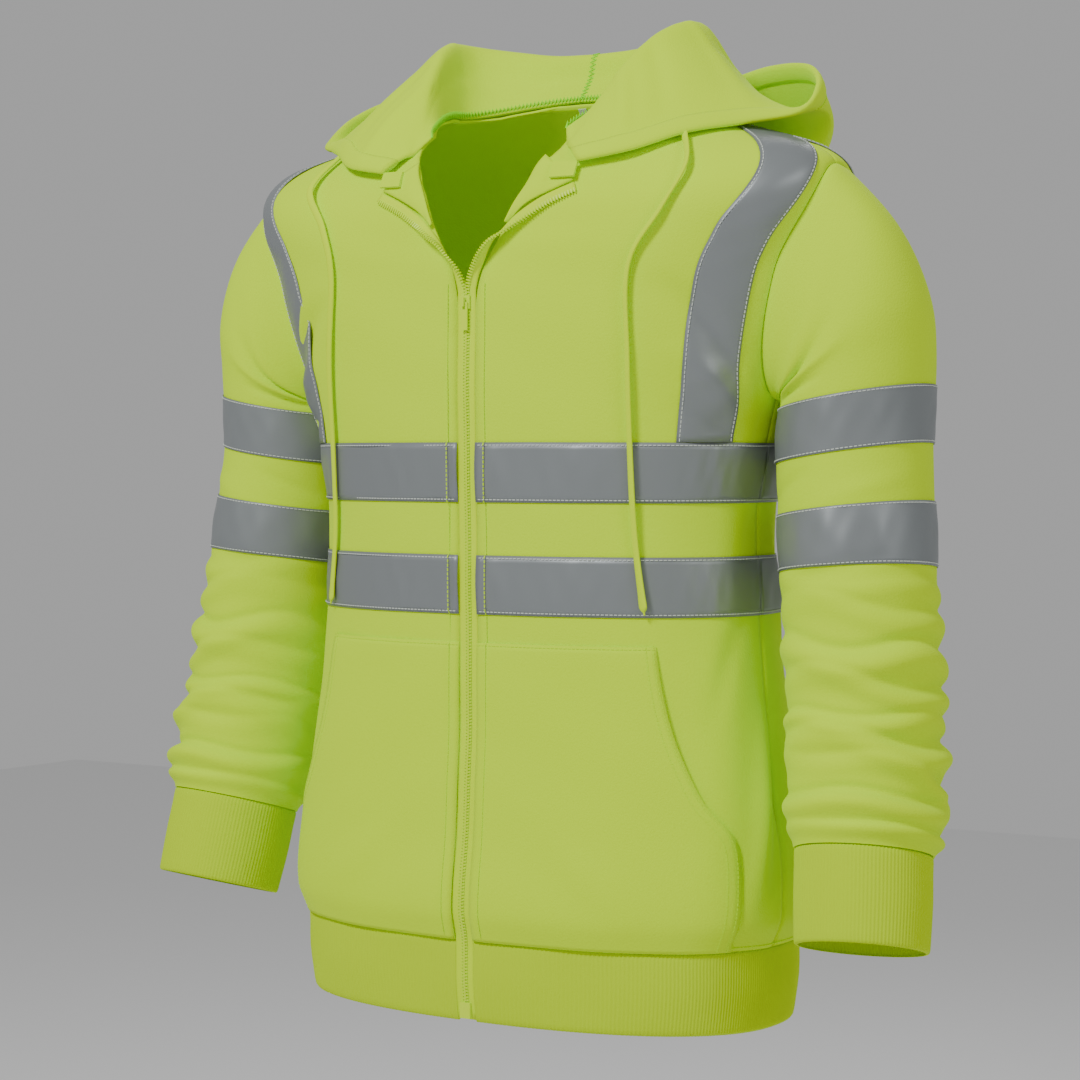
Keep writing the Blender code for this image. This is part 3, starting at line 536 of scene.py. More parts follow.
def shoulder_tapes():
    rows = shoulder_rows()
    half = ARMHOLE_STEPS + 2
    fine = np.concatenate([finer(rows[:half], 6, 5), finer(rows[half:], 6, 5)])
    grid = on_body(fine[..., 1], fine[..., 0], TAPE_LIFT + crumple(*fine.shape[1::-1]).T)
    both_shells("shoulder_tape", grid, TAPE, TAPE_LOOK, "tape_shoulder",
                ending="band")


# ---- Pocket halves and the rib band ----
POCKET_CLEAR = 0.0004
POCKET_THICK = 0.0018
MOUTH_LIFT = 0.003
POCKET_PUFF = 0.0012
MOUTH_FOOT_ROW = LOW_LEVELS.index(0.154)
POCKET_TOP_ROW = LOW_LEVELS.index(POCKET_TOP)


def pocket_grid():
    """The pocket's outer face on the +X front, standing off it towards its mouth."""
    rows = FRONT[:POCKET_TOP_ROW + 1, :TAPE_INNER + 1]
    fine = finer(rows, UP, 6)
    up = np.linspace(0, POCKET_TOP_ROW, fine.shape[0])[:, None]
    on = np.linspace(0, 1, fine.shape[1])[None, :]
    rise = np.clip((up - MOUTH_FOOT_ROW) / (POCKET_TOP_ROW - MOUTH_FOOT_ROW), 0, 1)
    lift = MOUTH_LIFT * np.sin(np.pi * rise) * on**3
    lift = lift + POCKET_PUFF * np.sin(np.pi * on) * np.sin(np.pi * up / POCKET_TOP_ROW)
    lift = lift + rolled(1.0, 0.8, fine.shape[:2]) * 0.8
    return on_body(fine[..., 1], fine[..., 0], POCKET_CLEAR + POCKET_THICK + lift)


def pockets():
    both_shells("pocket", pocket_grid(), POCKET_THICK, FLEECE_LOOK, "pocket")


RIB_PITCH = 0.0030
RIB_DEPTH = 0.0006
RIB_KNIT = 0.0024
POINTS_A_RIB = 4


def rib_wave(count):
    """How far each of count columns stands in, for upright ribs."""
    phase = 2 * np.pi * np.arange(count) / POINTS_A_RIB
    return -RIB_DEPTH * (0.5 - 0.5 * np.cos(phase))


def hem_band():
    start = float(front_edge(HEM_HEIGHT / 2))
    ribs = int(1.10 / RIB_PITCH)
    count = ribs * POINTS_A_RIB + 1
    around = np.linspace(start, 360 - start, count)[None, :]
    level = np.array([0.0, 0.002, 0.006, 0.014, 0.024, 0.034, 0.044, 0.054, 0.062, 0.0655,
                      HEM_HEIGHT])[:, None]
    turned = np.array([-0.0016, -0.0004, 0, 0, 0, 0, 0, 0, 0, -0.0004, -0.0012])[:, None]
    ripple = 0.0010 * np.sin(np.radians(around) * 9 + 0.7) * np.sin(np.pi * level / HEM_HEIGHT)
    lift = turned + rib_wave(count)[None, :] + ripple
    grid = body_point(level, around) + body_normal(level, around) * lift[..., None]
    thing = shell("hem_rib_band", grid, RIB_KNIT - RIB_DEPTH, RIB_LOOK, ("hem_rib",))


# ---- Sleeves and cuffs, for +X ----
SLEEVE_SECTIONS = [
    # place, x, y, height, tilt_degrees, half_outward, half_forward, pitch_degrees
    (0.000, 0.2480, 0.008, 0.6005, 74.5, 0.0970, 0.055, 0.0),
    (0.040, 0.2728, 0.010, 0.5753, 57.0, 0.0840, 0.060, 0.0),
    (0.080, 0.2838, 0.014, 0.5483, 38.0, 0.0730, 0.066, 0.0),
    (0.120, 0.2848, 0.018, 0.5280, 19.0, 0.0640, 0.067, 0.0),
    (0.150, 0.2841, 0.019, 0.5109, 10.5, 0.0615, 0.067, 0.0),
    (0.200, 0.2815, 0.019, 0.4790, 9.0, 0.0620, 0.066, 0.0),
    (0.250, 0.2835, 0.016, 0.4412, 8.0, 0.0620, 0.065, 1.0),
    (0.340, 0.2905, 0.008, 0.3709, 5.0, 0.0615, 0.064, 5.0),
    (0.450, 0.3020, -0.004, 0.2649, 4.0, 0.0605, 0.062, 11.0),
    (0.555, 0.3125, -0.024, 0.1676, 4.0, 0.0600, 0.061, 15.0),
    (0.573, 0.3140, -0.028, 0.1512, 4.0, 0.0550, 0.056, 15.0),
    (0.610, 0.3175, -0.036, 0.1156, 4.0, 0.0545, 0.0555, 15.0),
    (0.648, 0.3210, -0.045, 0.0790, 4.0, 0.0530, 0.0540, 15.0),
]
SLEEVE_END = 0.5725
CUFF_START = 0.5730
CUFF_END = 0.6480
SLEEVE_TAPES = {"upper": (0.155, 0.222), "lower": (0.279, 0.340)}
ROUND_SLEEVE = 96

# facing is the side of the sleeve where a fold is deepest: 0 under the arm, 90 behind,
# 180 outside and 270 in front
FOREARM_FOLDS = [
    # place, depth, half_length, facing, drop_round_the_sleeve, wander
    (0.364, 0.0026, 0.0090, 200.0, 0.016, 0.004),
    (0.393, 0.0044, 0.0096, 150.0, 0.020, -0.005),
    (0.422, 0.0074, 0.0112, 220.0, 0.014, 0.006),
    (0.451, 0.0058, 0.0088, 165.0, 0.019, -0.005),
    (0.473, 0.0048, 0.0076, 255.0, 0.010, 0.004),
    (0.497, 0.0078, 0.0104, 185.0, 0.015, -0.005),
    (0.521, 0.0054, 0.0082, 135.0, 0.018, 0.005),
    (0.543, 0.0072, 0.0090, 230.0, 0.009, -0.003),
    (0.562, 0.0046, 0.0056, 180.0, 0.003, 0.001),
]
SLEEVE_CREASES = [
    # turn, place, to_turn, to_place, depth, half_width
    (322.0, 0.118, 262.0, 0.070, -0.0042, 0.0065),
    (318.0, 0.130, 258.0, 0.095, 0.0030, 0.0070),
    (326.0, 0.145, 276.0, 0.128, -0.0030, 0.0060),
    (300.0, 0.080, 244.0, 0.028, 0.0018, 0.0090),
    (40.0, 0.115, 108.0, 0.072, -0.0040, 0.0070),
    (44.0, 0.132, 112.0, 0.100, 0.0028, 0.0070),
    (36.0, 0.150, 88.0, 0.132, -0.0028, 0.0060),
    (330.0, 0.262, 282.0, 0.240, -0.0022, 0.0070),
    (300.0, 0.352, 228.0, 0.336, -0.0024, 0.0070),
    (40.0, 0.250, 96.0, 0.234, -0.0020, 0.0070),
    (60.0, 0.356, 130.0, 0.338, -0.0024, 0.0070),
    (205.0, 0.255, 260.0, 0.268, 0.0014, 0.0090),
]
METRES_A_TURN_DEGREE = 0.0011
FOLD_RISE = 1.12
FOLD_TROUGH = 0.46


def sleeve_swell(place, turn_degrees):
    """How far the sleeve stands out of its section, from its folds and creases."""
    swell = np.zeros(np.broadcast(place, turn_degrees).shape)
    for fold_place, depth, half_length, facing_degrees, drop, wander in FOREARM_FOLDS:
        side = np.cos(np.radians(turn_degrees - facing_degrees))
        weave = wander * np.sin(np.radians(turn_degrees * 3 + facing_degrees))
        off = (place - fold_place + drop * (1 - side) / 2 + weave) / half_length
        swell = swell + FOLD_RISE * depth * np.exp(-np.abs(off) ** 2.2) * (0.62 + 0.38 * side)
        swell = swell - FOLD_TROUGH * depth * np.exp(-((off + 1.35) ** 2) * 5.0) * (0.6 + 0.4 * side)
    table = in_metres(SLEEVE_CREASES, METRES_A_TURN_DEGREE)
    return swell + creased(turn_degrees * METRES_A_TURN_DEGREE, place, table)


def sleeve_ring(place, count, folds=True):
    """Points of sections, from under the arm, round behind and over the outside."""
    place = np.asarray(place, float)[..., None]
    x, y, height, tilt, half_out, half_forward, pitch = eased(SLEEVE_SECTIONS, place)
    turn = 2 * np.pi * np.arange(count) / count
    tilt, pitch = np.radians(tilt), np.radians(pitch)
    out = np.stack([np.cos(tilt), 0 * tilt, np.sin(tilt)], axis=-1)
    back = np.stack([0 * pitch, np.cos(pitch), -np.sin(pitch)], axis=-1)
    middle = np.stack([x, y, height - NECK_HEIGHT], axis=-1)
    swell = sleeve_swell(place, np.degrees(turn)) if folds else 0.0 * turn
    return (middle - out * (np.cos(turn) * (half_out + swell))[..., None]
            + back * (np.sin(turn) * (half_forward + swell))[..., None])


def sleeve_surface():
    k = np.arange(ROUND_SLEEVE)
    half = ROUND_SLEEVE // 2
    rising = k <= half
    way = np.where(rising, k / half, 2 - k / half)
    around, level = armhole(way, np.where(rising, ARMHOLE_BACK_REACH, -ARMHOLE_FRONT_REACH))
    seam = body_point(level, around)
    seam_facing = body_normal(level, around)
    along = np.roll(seam, -1, axis=0) - np.roll(seam, 1, axis=0)
    first = seam + unit(np.cross(seam_facing, along)) * 0.0006 - seam_facing * 0.0008
    head = np.concatenate([[0.003, 0.008, 0.014], np.arange(0.020, 0.3525, 0.0045)])
    tail = np.arange(0.3545, SLEEVE_END, 0.0022)
    places = np.concatenate([head, tail, [SLEEVE_END]])
    rings = sleeve_ring(places, ROUND_SLEEVE)
    t = np.minimum(1.0, places / 0.120)
    share = (t * t * (3 - 2 * t))[:, None, None]
    carried = rings + (seam - sleeve_ring(np.array([0.0]), ROUND_SLEEVE, folds=False)[0])
    rings = carried * (1 - share) + rings * share
    grid = np.concatenate([first[None], rings])
    return grid, np.concatenate([[0.0], places]), seam_facing


def band(grid, places, low, high, normals):
    """The rows of the sleeve's grid between two places, with exact ends."""
    def row(place):
        k = np.searchsorted(places, place) - 1
        t = (place - places[k]) / (places[k + 1] - places[k])
        return (grid[k] * (1 - t) + grid[k + 1] * t, unit(normals[k] * (1 - t) + normals[k + 1] * t))
    inside = (places > low + 0.001) & (places < high - 0.001)
    first, last = row(low), row(high)
    return (np.concatenate([[first[0]], grid[inside], [last[0]]]),
            np.concatenate([[first[1]], normals[inside], [last[1]]]))


def sleeves():
    grid, places, seam_facing = sleeve_surface()
    normals = facing(grid, tube=True)
    normals[0] = seam_facing
    both_shells("sleeve", grid, FLEECE, FLEECE_LOOK, "sleeve",
                tube=True, normals=normals)
    for words, (top, foot) in SLEEVE_TAPES.items():
        rows, outward = band(grid, places, top, foot, normals)
        lift = TAPE_LIFT + crumple(*rows.shape[:2])
        both_shells(f"{words}_arm_tape", rows + outward * lift[..., None], TAPE, TAPE_LOOK,
                    f"tape_sleeve_{words}", tube=True,
                    normals=outward)


def cuffs():
    ribs = int(0.336 / RIB_PITCH)
    count = ribs * POINTS_A_RIB
    places = np.array([CUFF_START, 0.5745, 0.578, 0.586, 0.596, 0.607, 0.618, 0.629, 0.639,
                       0.645, 0.647, CUFF_END])
    turned = np.array([-0.0012, -0.0004, 0, 0, 0, 0, 0, 0, 0, 0, -0.0004, -0.0014])
    grid = sleeve_ring(places, count, folds=False)
    normals = facing(grid, tube=True)
    grid = grid + normals * (turned[:, None] + rib_wave(count)[None, :])[..., None]
    both_shells("cuff", grid, RIB_KNIT - RIB_DEPTH, RIB_LOOK, "cuff",
                tube=True, normals=normals)


# ---- Hood, worn down, with the rolled channel along its free edge ----
CENTRE_BACK = 179.86
HOOD_COLUMNS = 100
HOOD_GAP = 0.0002
HOOD_SECTIONS = [
    # around_neck, then x, y and height of: crest, fall, low, belly, edge
    (48.0, .076, -.084, .711, .080, -.089, .709,
     .086, -.094, .705, .091, -.098, .701, .095, -.101, .696),
    (60.0, .092, -.050, .756, .103, -.060, .747,
     .116, -.072, .732, .128, -.082, .716, .138, -.088, .704),
    (75.0, .103, -.016, .794, .120, -.024, .781,
     .140, -.038, .760, .158, -.050, .736, .172, -.058, .7185),
    (92.0, .113, .016, .814, .138, .008, .793,
     .166, -.004, .766, .190, -.016, .742, .206, -.022, .727),
    (108.0, .119, .040, .820, .148, .038, .790,
     .184, .032, .758, .222, .020, .740, .238, .010, .737),
    (124.0, .117, .060, .820, .146, .070, .780,
     .182, .078, .742, .230, .068, .740, .236, .044, .764),
    (138.0, .103, .074, .817, .128, .098, .762,
     .152, .120, .695, .204, .124, .722, .208, .078, .784),
    (152.0, .078, .084, .812, .098, .124, .740,
     .118, .150, .637, .148, .166, .695, .154, .112, .790),
    (166.0, .042, .088, .806, .055, .134, .722,
     .066, .164, .590, .080, .192, .675, .084, .142, .784),
    (CENTRE_BACK, .0002, .088, .804, .0002, .136, .716,
     .0002, .166, .573, .0002, .198, .665, .0002, .150, .780),
]
HOOD_CREASES = [
    # around_neck, way_out, to_around, to_way_out, depth, half_width
    (66.0, 0.30, 58.0, 0.92, -0.0030, 0.006),
    (78.0, 0.34, 70.0, 0.90, 0.0026, 0.009),
    (104.0, 0.34, 96.0, 0.84, -0.0026, 0.009),
    (118.0, 0.40, 112.0, 0.80, 0.0034, 0.011),
    (132.0, 0.45, 124.0, 0.86, -0.0036, 0.010),
    (150.0, 0.50, 160.0, 0.78, -0.0040, 0.013),
    (140.0, 0.62, 166.0, 0.66, 0.0030, 0.012),
    (170.0, 0.20, 150.0, 0.14, 0.0016, 0.010),
    (90.0, 0.16, 120.0, 0.12, -0.0014, 0.010),
]
METRES_A_NECK_DEGREE = 0.0024
METRES_A_WAY = 0.28


def hood_grid():
    around = np.linspace(HOOD_SECTIONS[0][0], CENTRE_BACK, HOOD_COLUMNS)
    sizes = eased(HOOD_SECTIONS, around)
    named = [np.stack([sizes[i], sizes[i + 1], sizes[i + 2] - NECK_HEIGHT], axis=-1)
             for i in range(0, 15, 3)]
    foot = body_point(NECK_LEVEL, around) + np.array([0.0, 0.0, 0.0005])
    grid = through(np.stack([foot, (foot + named[0]) / 2] + named), 14)
    way = np.linspace(0, 1, grid.shape[0])[:, None]
    table = in_metres(HOOD_CREASES, METRES_A_NECK_DEGREE, METRES_A_WAY)
    rise = creased(around[None, :] * METRES_A_NECK_DEGREE, way * METRES_A_WAY, table)
    held = np.sin(np.pi * np.clip(way, 0, 1)) ** 0.5 * np.clip((CENTRE_BACK - around) / 8, 0, 1)[None, :]
    grid = grid + facing(grid) * (rise * held)[..., None]
    grid[..., 0] = np.maximum(grid[..., 0], HOOD_GAP)
    return grid


def edge_frames(grid):
    """For each column, places at a distance in from the free edge."""
    back = grid[::-1]
    normals = facing(grid)[::-1]
    run = np.concatenate([np.zeros((1, back.shape[1])),
                          np.cumsum(np.linalg.norm(np.diff(back, axis=0), axis=-1), axis=0)])

    def at(distance):
        found, outward = [], []
        for c in range(back.shape[1]):
            if distance < 0:
                step = unit(back[0, c] - back[1, c])
                found.append(back[0, c] - step * distance)
                outward.append(normals[0, c])
                continue
            found.append([np.interp(distance, run[:, c], back[:, c, k]) for k in range(3)])
            outward.append([np.interp(distance, run[:, c], normals[:, c, k]) for k in range(3)])
        return np.array(found), unit(np.array(outward))
    return at


CHANNEL_SECTION = [
    # distance in from the hood's edge, lift
    (-0.0014, -0.0011), (-0.0004, 0.0008), (0.0030, 0.0021), (0.0080, 0.0026), (0.0125, 0.0020),
    (0.0158, 0.0005), (0.0160, -0.0027), (0.0125, -0.0036), (0.0080, -0.0040), (0.0030, -0.0036),
    (-0.0004, -0.0028),
]
CHANNEL_STITCH = 0.0150


def tube_mesh(name, rings, look, replaced=()):
    """A closed tube through rings of points."""
    rows, columns = rings.shape[:2]
    faces = [tuple(f) for f in grid_faces(rows, columns, tube=True)]
    faces.append(tuple(range(columns))[::-1])
    faces.append(tuple((rows - 1) * columns + k for k in range(columns)))
    return mesh_from(name, rings.reshape(-1, 3), faces, look, replaced)


def hood():
    grid = hood_grid()
    at = edge_frames(grid)
    section = []
    for distance, lift in CHANNEL_SECTION:
        place, outward = at(distance)
        section.append(place + outward * lift)
    rings = np.stack(section, axis=1)
    rings[..., 0] = np.maximum(rings[..., 0], HOOD_GAP)
    for side, made, rolled_edge in (("left", grid, rings), ("right", flipped(grid), flipped(rings))):
        cloth = shell(f"hood_{side}_cloth", made, FLEECE, FLEECE_LOOK,
                      (f"hood_{side}",))
        channel = tube_mesh(f"hood_channel_{side}_cloth", rolled_edge, FLEECE_LOOK)
    return grid, at


# ---- Lapels and the zip's cloth tapes ----
LAPEL_LINES = [
    # way_up, fold_x, fold_height, edge_x, edge_height
    (0.00, 0.0350, 0.6500, 0.0380, 0.6480),
    (0.33, 0.0440, 0.6670, 0.0500, 0.6600),
    (0.66, 0.0530, 0.6840, 0.0690, 0.6700),
    (1.00, 0.0620, 0.7020, 0.0930, 0.6800),
]
LAPEL_LIFT, LAPEL_PUFF, LAPEL_WAVE = 0.0030, 0.0013, 0.0006
ZIP_FOOT = 0.002
ZIP_CLOSED_TOP = 0.594
ZIP_TAPE = 0.0010
ZIP_TAPE_WIDTH = 0.0083
ZIP_OPEN = [
    # way_up, x, height, lift, turn_degrees
    (0.00, 0.0090, 0.5970, -0.0009, 6.0),
    (0.12, 0.0118, 0.6070, -0.0002, 28.0),
    (0.24, 0.0170, 0.6190, 0.0010, 60.0),
    (0.36, 0.0245, 0.6330, 0.0020, 95.0),
    (0.48, 0.0345, 0.6440, 0.0026, 130.0),
    (0.60, 0.0430, 0.6520, 0.0030, 155.0),
    (0.72, 0.0530, 0.6590, 0.0030, 172.0),
    (0.86, 0.0700, 0.6685, 0.0024, 180.0),
    (1.00, 0.0940, 0.6785, 0.0018, 180.0),
]


def front_place(x, height):
    """(level, around) of the front's points with these x and heights."""
    x, height = np.broadcast_arrays(np.asarray(x, float), np.asarray(height, float))
    low, high = np.zeros(x.shape), np.full(x.shape, NECK_LEVEL)
    for _ in range(30):
        level = (low + high) / 2
        half = eased(BODY_RINGS, level)[0]
        around = np.degrees(np.arcsin(np.minimum(0.999, x / half)))
        for _ in range(5):
            around = around * x / np.maximum(body_point(level, around)[..., 0], 1e-6)
        over = (x > half) | (body_point(level, around)[..., 2] + NECK_HEIGHT > height)
        low, high = np.where(over, low, level), np.where(over, level, high)
    return level, around


def front_at(x, height, lift):
    level, around = front_place(x, height)
    return on_body(level, around, lift)


def lapels():
    way = np.linspace(0, 1, 24)[:, None]
    across = np.linspace(0, 1, 12)[None, :]
    fold_x, fold_z, edge_x, edge_z = (v for v in eased(LAPEL_LINES, way))
    x = fold_x + (edge_x - fold_x) * across
    z = fold_z + (edge_z - fold_z) * across
    rise = LAPEL_LIFT + LAPEL_PUFF * np.sin(np.pi * across) + LAPEL_WAVE * np.sin(way * 9 + across * 4)
    grid = front_at(x, z, rise)
    both_shells("lapel", grid, 0.0020, FLEECE_LOOK, "lapel")


def zip_line():
    """Sewn edge, outward direction and turn along one side of the zip, for +X."""
    closed = np.linspace(ZIP_FOOT, ZIP_CLOSED_TOP, 90)
    level, around = front_place(ZIP_HALF_GAP - 0.0003, closed)
    edge = [on_body(level, around, -FLEECE / 2)]
    normal = [body_normal(level, around)]
    x, height, lift, turn = eased(ZIP_OPEN, np.linspace(0, 1, 60))
    level, around = front_place(x, height)
    edge.append(on_body(level, around, lift))
    normal.append(body_normal(level, around))
    return (np.concatenate(edge), np.concatenate(normal),
            np.radians(np.concatenate([0 * closed, turn])))


def zip_frames():
    edge, normal, turn = zip_line()
    along = np.empty_like(edge)
    along[1:-1] = edge[2:] - edge[:-2]
    along[0], along[-1] = edge[1] - edge[0], edge[-1] - edge[-2]
    across = unit(np.cross(along, normal))
    c, s = np.cos(turn)[:, None], np.sin(turn)[:, None]
    return edge, -across * c + normal * s, normal * c + across * s, unit(along)


def blocks(name, frames, size, look):
    """Small blocks at many frames. size is (along, across from, across to, out from, out to)."""
    places, alongs, acrosses, outs = frames
    half, near, far, low, high = size
    corners = [(a * half, b, c) for a in (-1, 1) for b in (near, far) for c in (low, high)]
    points = np.stack([places + alongs * a + acrosses * b + outs * c for a, b, c in corners], axis=1)
    faces = np.array([(0, 1, 3, 2), (4, 6, 7, 5), (0, 4, 5, 1), (2, 3, 7, 6), (1, 5, 7, 3),
                      (0, 2, 6, 4)])
    every = (np.arange(len(places))[:, None, None] * 8 + faces[None]).reshape(-1, 4)
    mesh_from(name, points.reshape(-1, 3), every, look).data.shade_flat()


def along_run(points, pitch, offset, *fields):
    """Places along a run of points at an even pitch, and the fields there."""
    run = np.concatenate([[0], np.cumsum(np.linalg.norm(np.diff(points, axis=0), axis=-1))])
    stops = np.arange(offset, run[-1], pitch)
    found = []
    for field in (points, *fields):
        found.append(np.stack([np.interp(stops, run, field[:, k]) for k in range(3)], axis=-1))
    return found


TOOTH_PITCH = 0.0026
FIRST_TOOTH = 0.016
TOOTH_SIZE = (0.00058, -0.0026, 0.0012, -0.0012, 0.0016)
SLIDER_HEIGHT = 0.586
SLIDER_HALF_LENGTH = 0.006


def zip_cloth_and_teeth():
    edge, towards, out, along = zip_frames()
    reach = np.array([1.0, 0.75, 0.5, 0.25, 0.0])[None, :, None] * ZIP_TAPE_WIDTH
    grid = edge[:, None] + towards[:, None] * reach + out[:, None] * (ZIP_TAPE / 2)
    both_shells("zip_tape", grid, ZIP_TAPE, ZIP_TAPE_LOOK, "zip_tape",
                normals=np.repeat(out[:, None], 5, axis=1))
    free = edge + towards * ZIP_TAPE_WIDTH
    for side, sign, offset in (("left", 1, 0.0), ("right", -1, TOOTH_PITCH / 2)):
        places, ways, outs, alongs = along_run(free, TOOTH_PITCH, FIRST_TOOTH + offset, towards, out,
                                                along)
        clear = np.abs(places[:, 2] - (SLIDER_HEIGHT - NECK_HEIGHT)) > SLIDER_HALF_LENGTH
        places, ways, outs, alongs = (v[clear] for v in (places, ways, outs, alongs))
        flip = np.array([sign, 1, 1])
        blocks(f"zip_teeth_{side}", (places * flip, unit(alongs) * flip, unit(ways) * flip,
                                     unit(outs) * flip),
               TOOTH_SIZE, PLASTIC_LOOK)


# ---- Sewing ----
STITCH_PITCH = 0.0036
STITCH_SIZE = (0.00125, -0.00035, 0.00035, -0.0004, 0.00035)
PLACKET_STITCH_X = 0.0180


def stitches(name, runs, look):
    """Short raised stitches along runs of (points, outward directions), on both sides."""
    places, alongs, acrosses, outs = [], [], [], []
    for points, outward in runs:
        step = np.gradient(points, axis=0)
        at, out, along = along_run(points, STITCH_PITCH, STITCH_PITCH / 2, outward, step)
        out, along = unit(out), unit(along)
        for sign in (1, -1):
            flip = np.array([sign, 1, 1])
            places.append(at * flip)
            alongs.append(along * flip)
            outs.append(out * flip)
            acrosses.append(unit(np.cross(out * flip, along * flip)))
    frames = tuple(np.concatenate(v) for v in (places, alongs, acrosses, outs))
    blocks(name, frames, STITCH_SIZE, look)


def body_run(places, lift):
    level, around = np.array(places, float).T
    return on_body(level, around, lift), body_normal(level, around)


def column_run(grid, outward, c):
    k = int(np.floor(c))
    t = c - k
    return (grid[:, k] * (1 - t) + grid[:, k + 1] * t,
            unit(outward[:, k] * (1 - t) + outward[:, k + 1] * t))


def row_run(grid, outward, r):
    return column_run(np.swapaxes(grid, 0, 1), np.swapaxes(outward, 0, 1), r)


def tape_stitches():
    runs = []
    inset = 0.0022
    lift = TAPE_LIFT + 0.0003
    for foot in (WAIST_TAPE_FOOT, CHEST_TAPE_FOOT):
        for level in (foot + inset, foot + TAPE_WIDTH - inset):
            edge = float(front_edge(level)) + 0.6
            runs.append(body_run([(level, a) for a in np.linspace(edge, 179.9, 90)], lift))
    rows = shoulder_rows()
    half = ARMHOLE_STEPS + 2
    for part in (rows[:half], rows[half:]):
        fine = finer(part, 6, 5)
        grid = on_body(fine[..., 1], fine[..., 0], lift)
        outward = facing(grid)
        columns = grid.shape[1]
        runs.append(column_run(grid, outward, 0.45))
        runs.append(column_run(grid, outward, columns - 1.46))
    grid, places, seam_facing = sleeve_surface()
    normals = facing(grid, tube=True)
    for top, foot in SLEEVE_TAPES.values():
        for place in (top + inset, foot - inset):
            rows, outward = band(grid, places, place, place + 0.004, normals)
            ring, out = rows[0] + outward[0] * lift, outward[0]
            runs.append((np.concatenate([ring, ring[:1]]), np.concatenate([out, out[:1]])))
    stitches("tape_stitching", runs, TAPE_THREAD_LOOK)


def cloth_stitches(hood_at):
    runs = []
    grid = pocket_grid()
    outward = facing(grid)
    columns, rows = grid.shape[1], grid.shape[0]
    for inset in (0.45, 1.5):
        runs.append(column_run(grid, outward, columns - 1.001 - inset))
    runs.append(row_run(grid, outward, rows - 1.001 - 0.35))
    level, around = front_place(PLACKET_STITCH_X, np.linspace(0.072, 0.600, 260))
    on_tape = np.zeros(level.shape, bool)
    for foot in (WAIST_TAPE_FOOT, CHEST_TAPE_FOOT):
        on_tape |= (level > foot) & (level < foot + TAPE_WIDTH)
    lift = 0.0006 + 0.0022 * (level < POCKET_TOP) + (TAPE_LIFT + 2 * CRUMPLE) * on_tape
    runs.append((on_body(level, around, lift), body_normal(level, around)))
    seam = [(0.0705, a) for a in np.linspace(8, 179.8, 120)]
    runs.append(body_run(seam, -0.0001))
    place, out = hood_at(CHANNEL_STITCH + 0.0022)
    runs.append((place + out * 0.0003, out))
    stitches("seam_stitching", runs, THREAD_LOOK)


def zigzag(name, points, side, width, pitch, radius, look):
    """A thick zigzag thread along a run of points; side is the direction across it."""
    middle, across = along_run(points, pitch / 2, 0, side)
    swing = np.where(np.arange(len(middle)) % 2, 1, -1)[:, None] * width / 2
    path = middle + unit(across) * swing
    curve = bpy.data.curves.new(name, "CURVE")
    curve.dimensions = "3D"
    curve.bevel_depth = radius
    curve.bevel_resolution = 1
    line = curve.splines.new("POLY")
    line.points.add(len(path) - 1)
    for point, p in zip(line.points, path):
        point.co = (*p, 1.0)
    curve.materials.append(look)
    thing = placed(name, curve)
    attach(thing, BODY)


def overlocks(grid):
    """Bright zigzag sewing inside the neck seam and up the hood's centre-back seam; its brightness is
    partly its green thread and partly a painted glow.
    """
    outward = facing(grid)
    across = np.broadcast_to(np.array([0.0, 0.0, 1.0]), grid[0].shape)
    seam = grid[1] - outward[1] * (FLEECE + 0.0008)
    whole = np.concatenate([seam, flipped(seam[None])[0]])
    zigzag("neck_seam_overlock", whole, np.concatenate([across, across]), 0.0046, 0.0034, 0.0010,
           OVERLOCK_LOOK)
    rows = slice(2, 30)
    back = grid[rows, -1] - outward[rows, -1] * (FLEECE + 0.0004)
    back[:, 0] = 0.0
    side = np.broadcast_to(np.array([1.0, 0.0, 0.0]), back.shape)
    zigzag("hood_seam_overlock", back, side, 0.0050, 0.0042, 0.0007, OVERLOCK_LOOK)


# ---- Drawstrings ----
DRAWSTRING_ROUTE = [
    # level, around_left, around_right, lift
    (0.787, 60.4, 62.2, 0.0040),
    (0.775, 57.0, 58.0, 0.0042),
    (0.735, 45.0, 43.0, 0.0062),
    (0.690, 36.0, 32.0, 0.0046),
    (0.620, 32.5, 32.0, 0.0040),
    (0.540, 36.0, 38.0, 0.0046),
    (0.460, 40.0, 43.5, 0.0046),
    (0.400, 42.0, 46.0, 0.0042),
    (0.350, 43.5, 47.5, 0.0046),
    (0.335, 44.0, 48.0, 0.0048),
]
CORD_PROFILE = [
    # way_along, half_width, half_thickness
    (0.00, 0.0036, 0.0016),
    (0.80, 0.0036, 0.0016),
    (0.88, 0.0041, 0.0017),
    (0.93, 0.0046, 0.0017),
    (0.960, 0.0026, 0.0016),
    (0.975, 0.0011, 0.0010),
    (1.00, 0.0008, 0.0007),
]
LEFT_CORD_TURN = 50.0


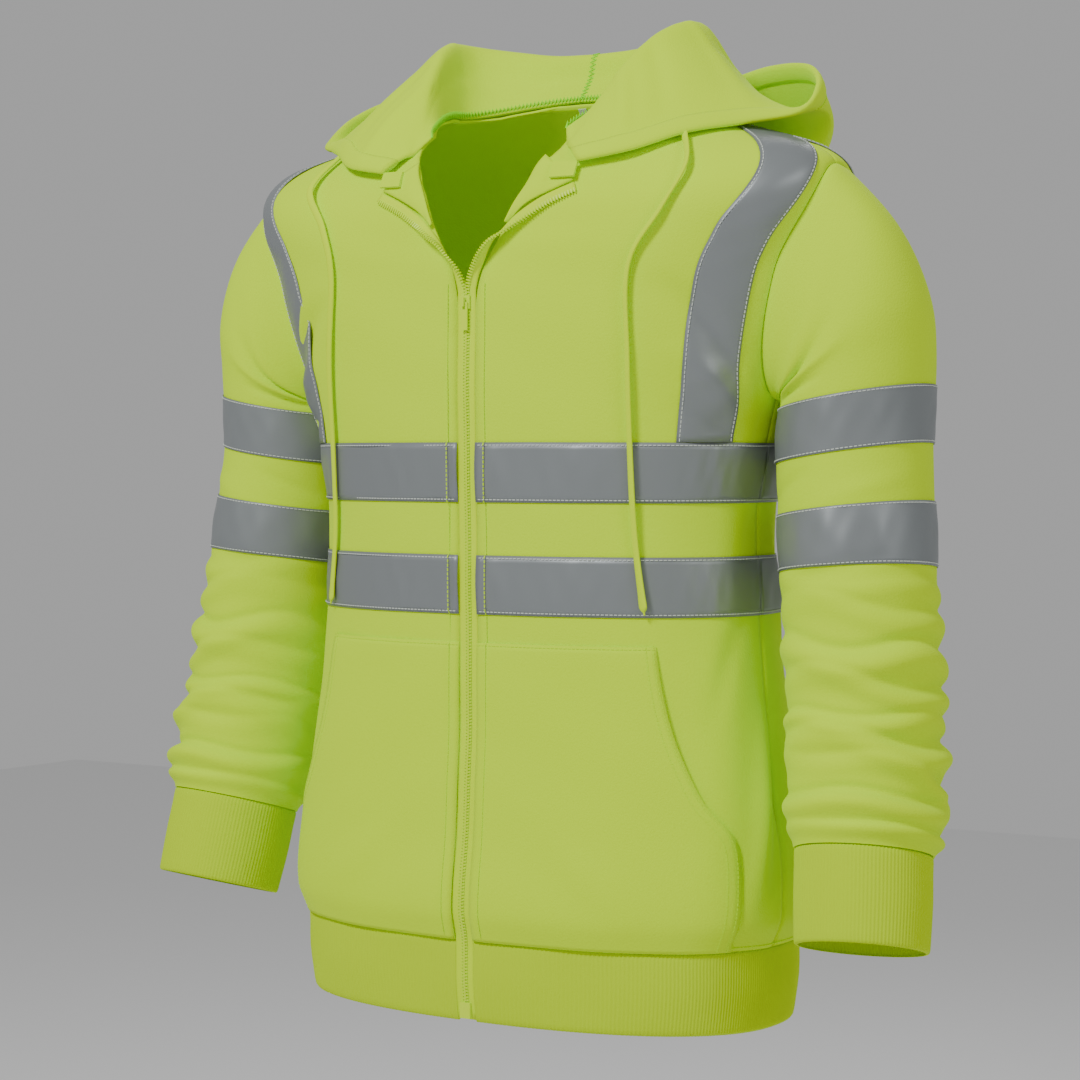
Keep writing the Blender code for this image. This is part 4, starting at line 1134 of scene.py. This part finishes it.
def drawstrings():
    for side, sign, column, turn in (("left", 1, 1, LEFT_CORD_TURN), ("right", -1, 2, 0.0)):
        table = np.array(DRAWSTRING_ROUTE)
        level, around, lift = table[:, 0], table[:, column], table[:, 3]
        route = body_point(level, around) + body_normal(level, around) * lift[:, None]
        outward = body_normal(level, around)
        path, out = through(route, 16), unit(through(outward, 16))
        path[:, 0] *= sign
        out[:, 0] *= sign
        step = unit(np.gradient(path, axis=0))
        across = unit(np.cross(out, step))
        c, s = np.cos(np.radians(turn)), np.sin(np.radians(turn))
        across, out = across * c + out * s, out * c - across * s
        way = np.linspace(0, 1, len(path))
        half_width, half_thick = eased(CORD_PROFILE, way)
        angles = np.linspace(0, 2 * np.pi, 12, endpoint=False)
        twist = 1 + 0.05 * np.sin(way * 900)
        rings = (path[:, None]
                 + across[:, None] * (np.cos(angles)[None] * (half_width * twist)[:, None])[..., None]
                 + out[:, None] * (np.sin(angles)[None] * half_thick[:, None])[..., None])
        thing = tube_mesh(f"drawstring_{side}_braid", rings[:, ::-1] if sign > 0 else rings,
                          CORD_LOOK, (f"drawstring_{side}",))


def small_parts():
    """The moulded pieces, tabs and label keep their own form and get their finish."""
    for names, look in ((("zip_slider", "zip_pull", "zip_box"), PLASTIC_LOOK),
                        (("zip_tab_left", "zip_tab_right"), FLEECE_LOOK),
                        (("neck_label",), LABEL_LOOK)):
        for name in names:
            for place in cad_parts[name].material_slots:
                place.material = look


def build_body():
    drawstrings()
    lapels()
    zip_cloth_and_teeth()
    small_parts()
    grid, at = hood()
    overlocks(grid)
    tape_stitches()
    cloth_stitches(at)
    pockets()
    hem_band()
    sleeves()
    cuffs()
    body_panels()
    body_tapes()
    shoulder_tapes()


build_body()


FLOOR_HALF, FLOOR_Z = 6.0, -1.45
LAMPS = [
    # name, place, size, power
    ("key", (-0.3, -2.5, 1.9), 0.7, 84.0),
    ("fill", (2.6, -0.5, 0.9), 0.8, 14.0),
    ("back", (-0.8, 2.4, 1.6), 1.2, 24.0),
]


def make_light():
    """A pale floor and soft studio light, none of it part of the object."""
    mesh = bpy.data.meshes.new("floor")
    corners = [(-1, -1), (1, -1), (1, 1), (-1, 1)]
    mesh.from_pydata([(x * FLOOR_HALF, y * FLOOR_HALF, FLOOR_Z) for x, y in corners], [],
                     [(0, 1, 2, 3)])
    mesh.materials.append(finish("pale_floor", (0.86, 0.86, 0.86, 1.0), 0.9))
    placed("floor", mesh)
    world = bpy.data.worlds.new("studio")
    world.use_nodes = True
    sky = world.node_tree.nodes["Background"]
    sky.inputs["Color"].default_value = (1.0, 1.0, 1.0, 1.0)
    sky.inputs["Strength"].default_value = 0.40
    bpy.context.scene.world = world
    for name, place, size, power in LAMPS:
        lamp = bpy.data.lights.new(name, "AREA")
        lamp.size = size
        lamp.energy = power
        thing = placed(name, lamp)
        thing.location = place
        aim = Vector((0, 0, -0.35)) - Vector(place)
        thing.rotation_euler = aim.to_track_quat("-Z", "Y").to_euler()


make_light()
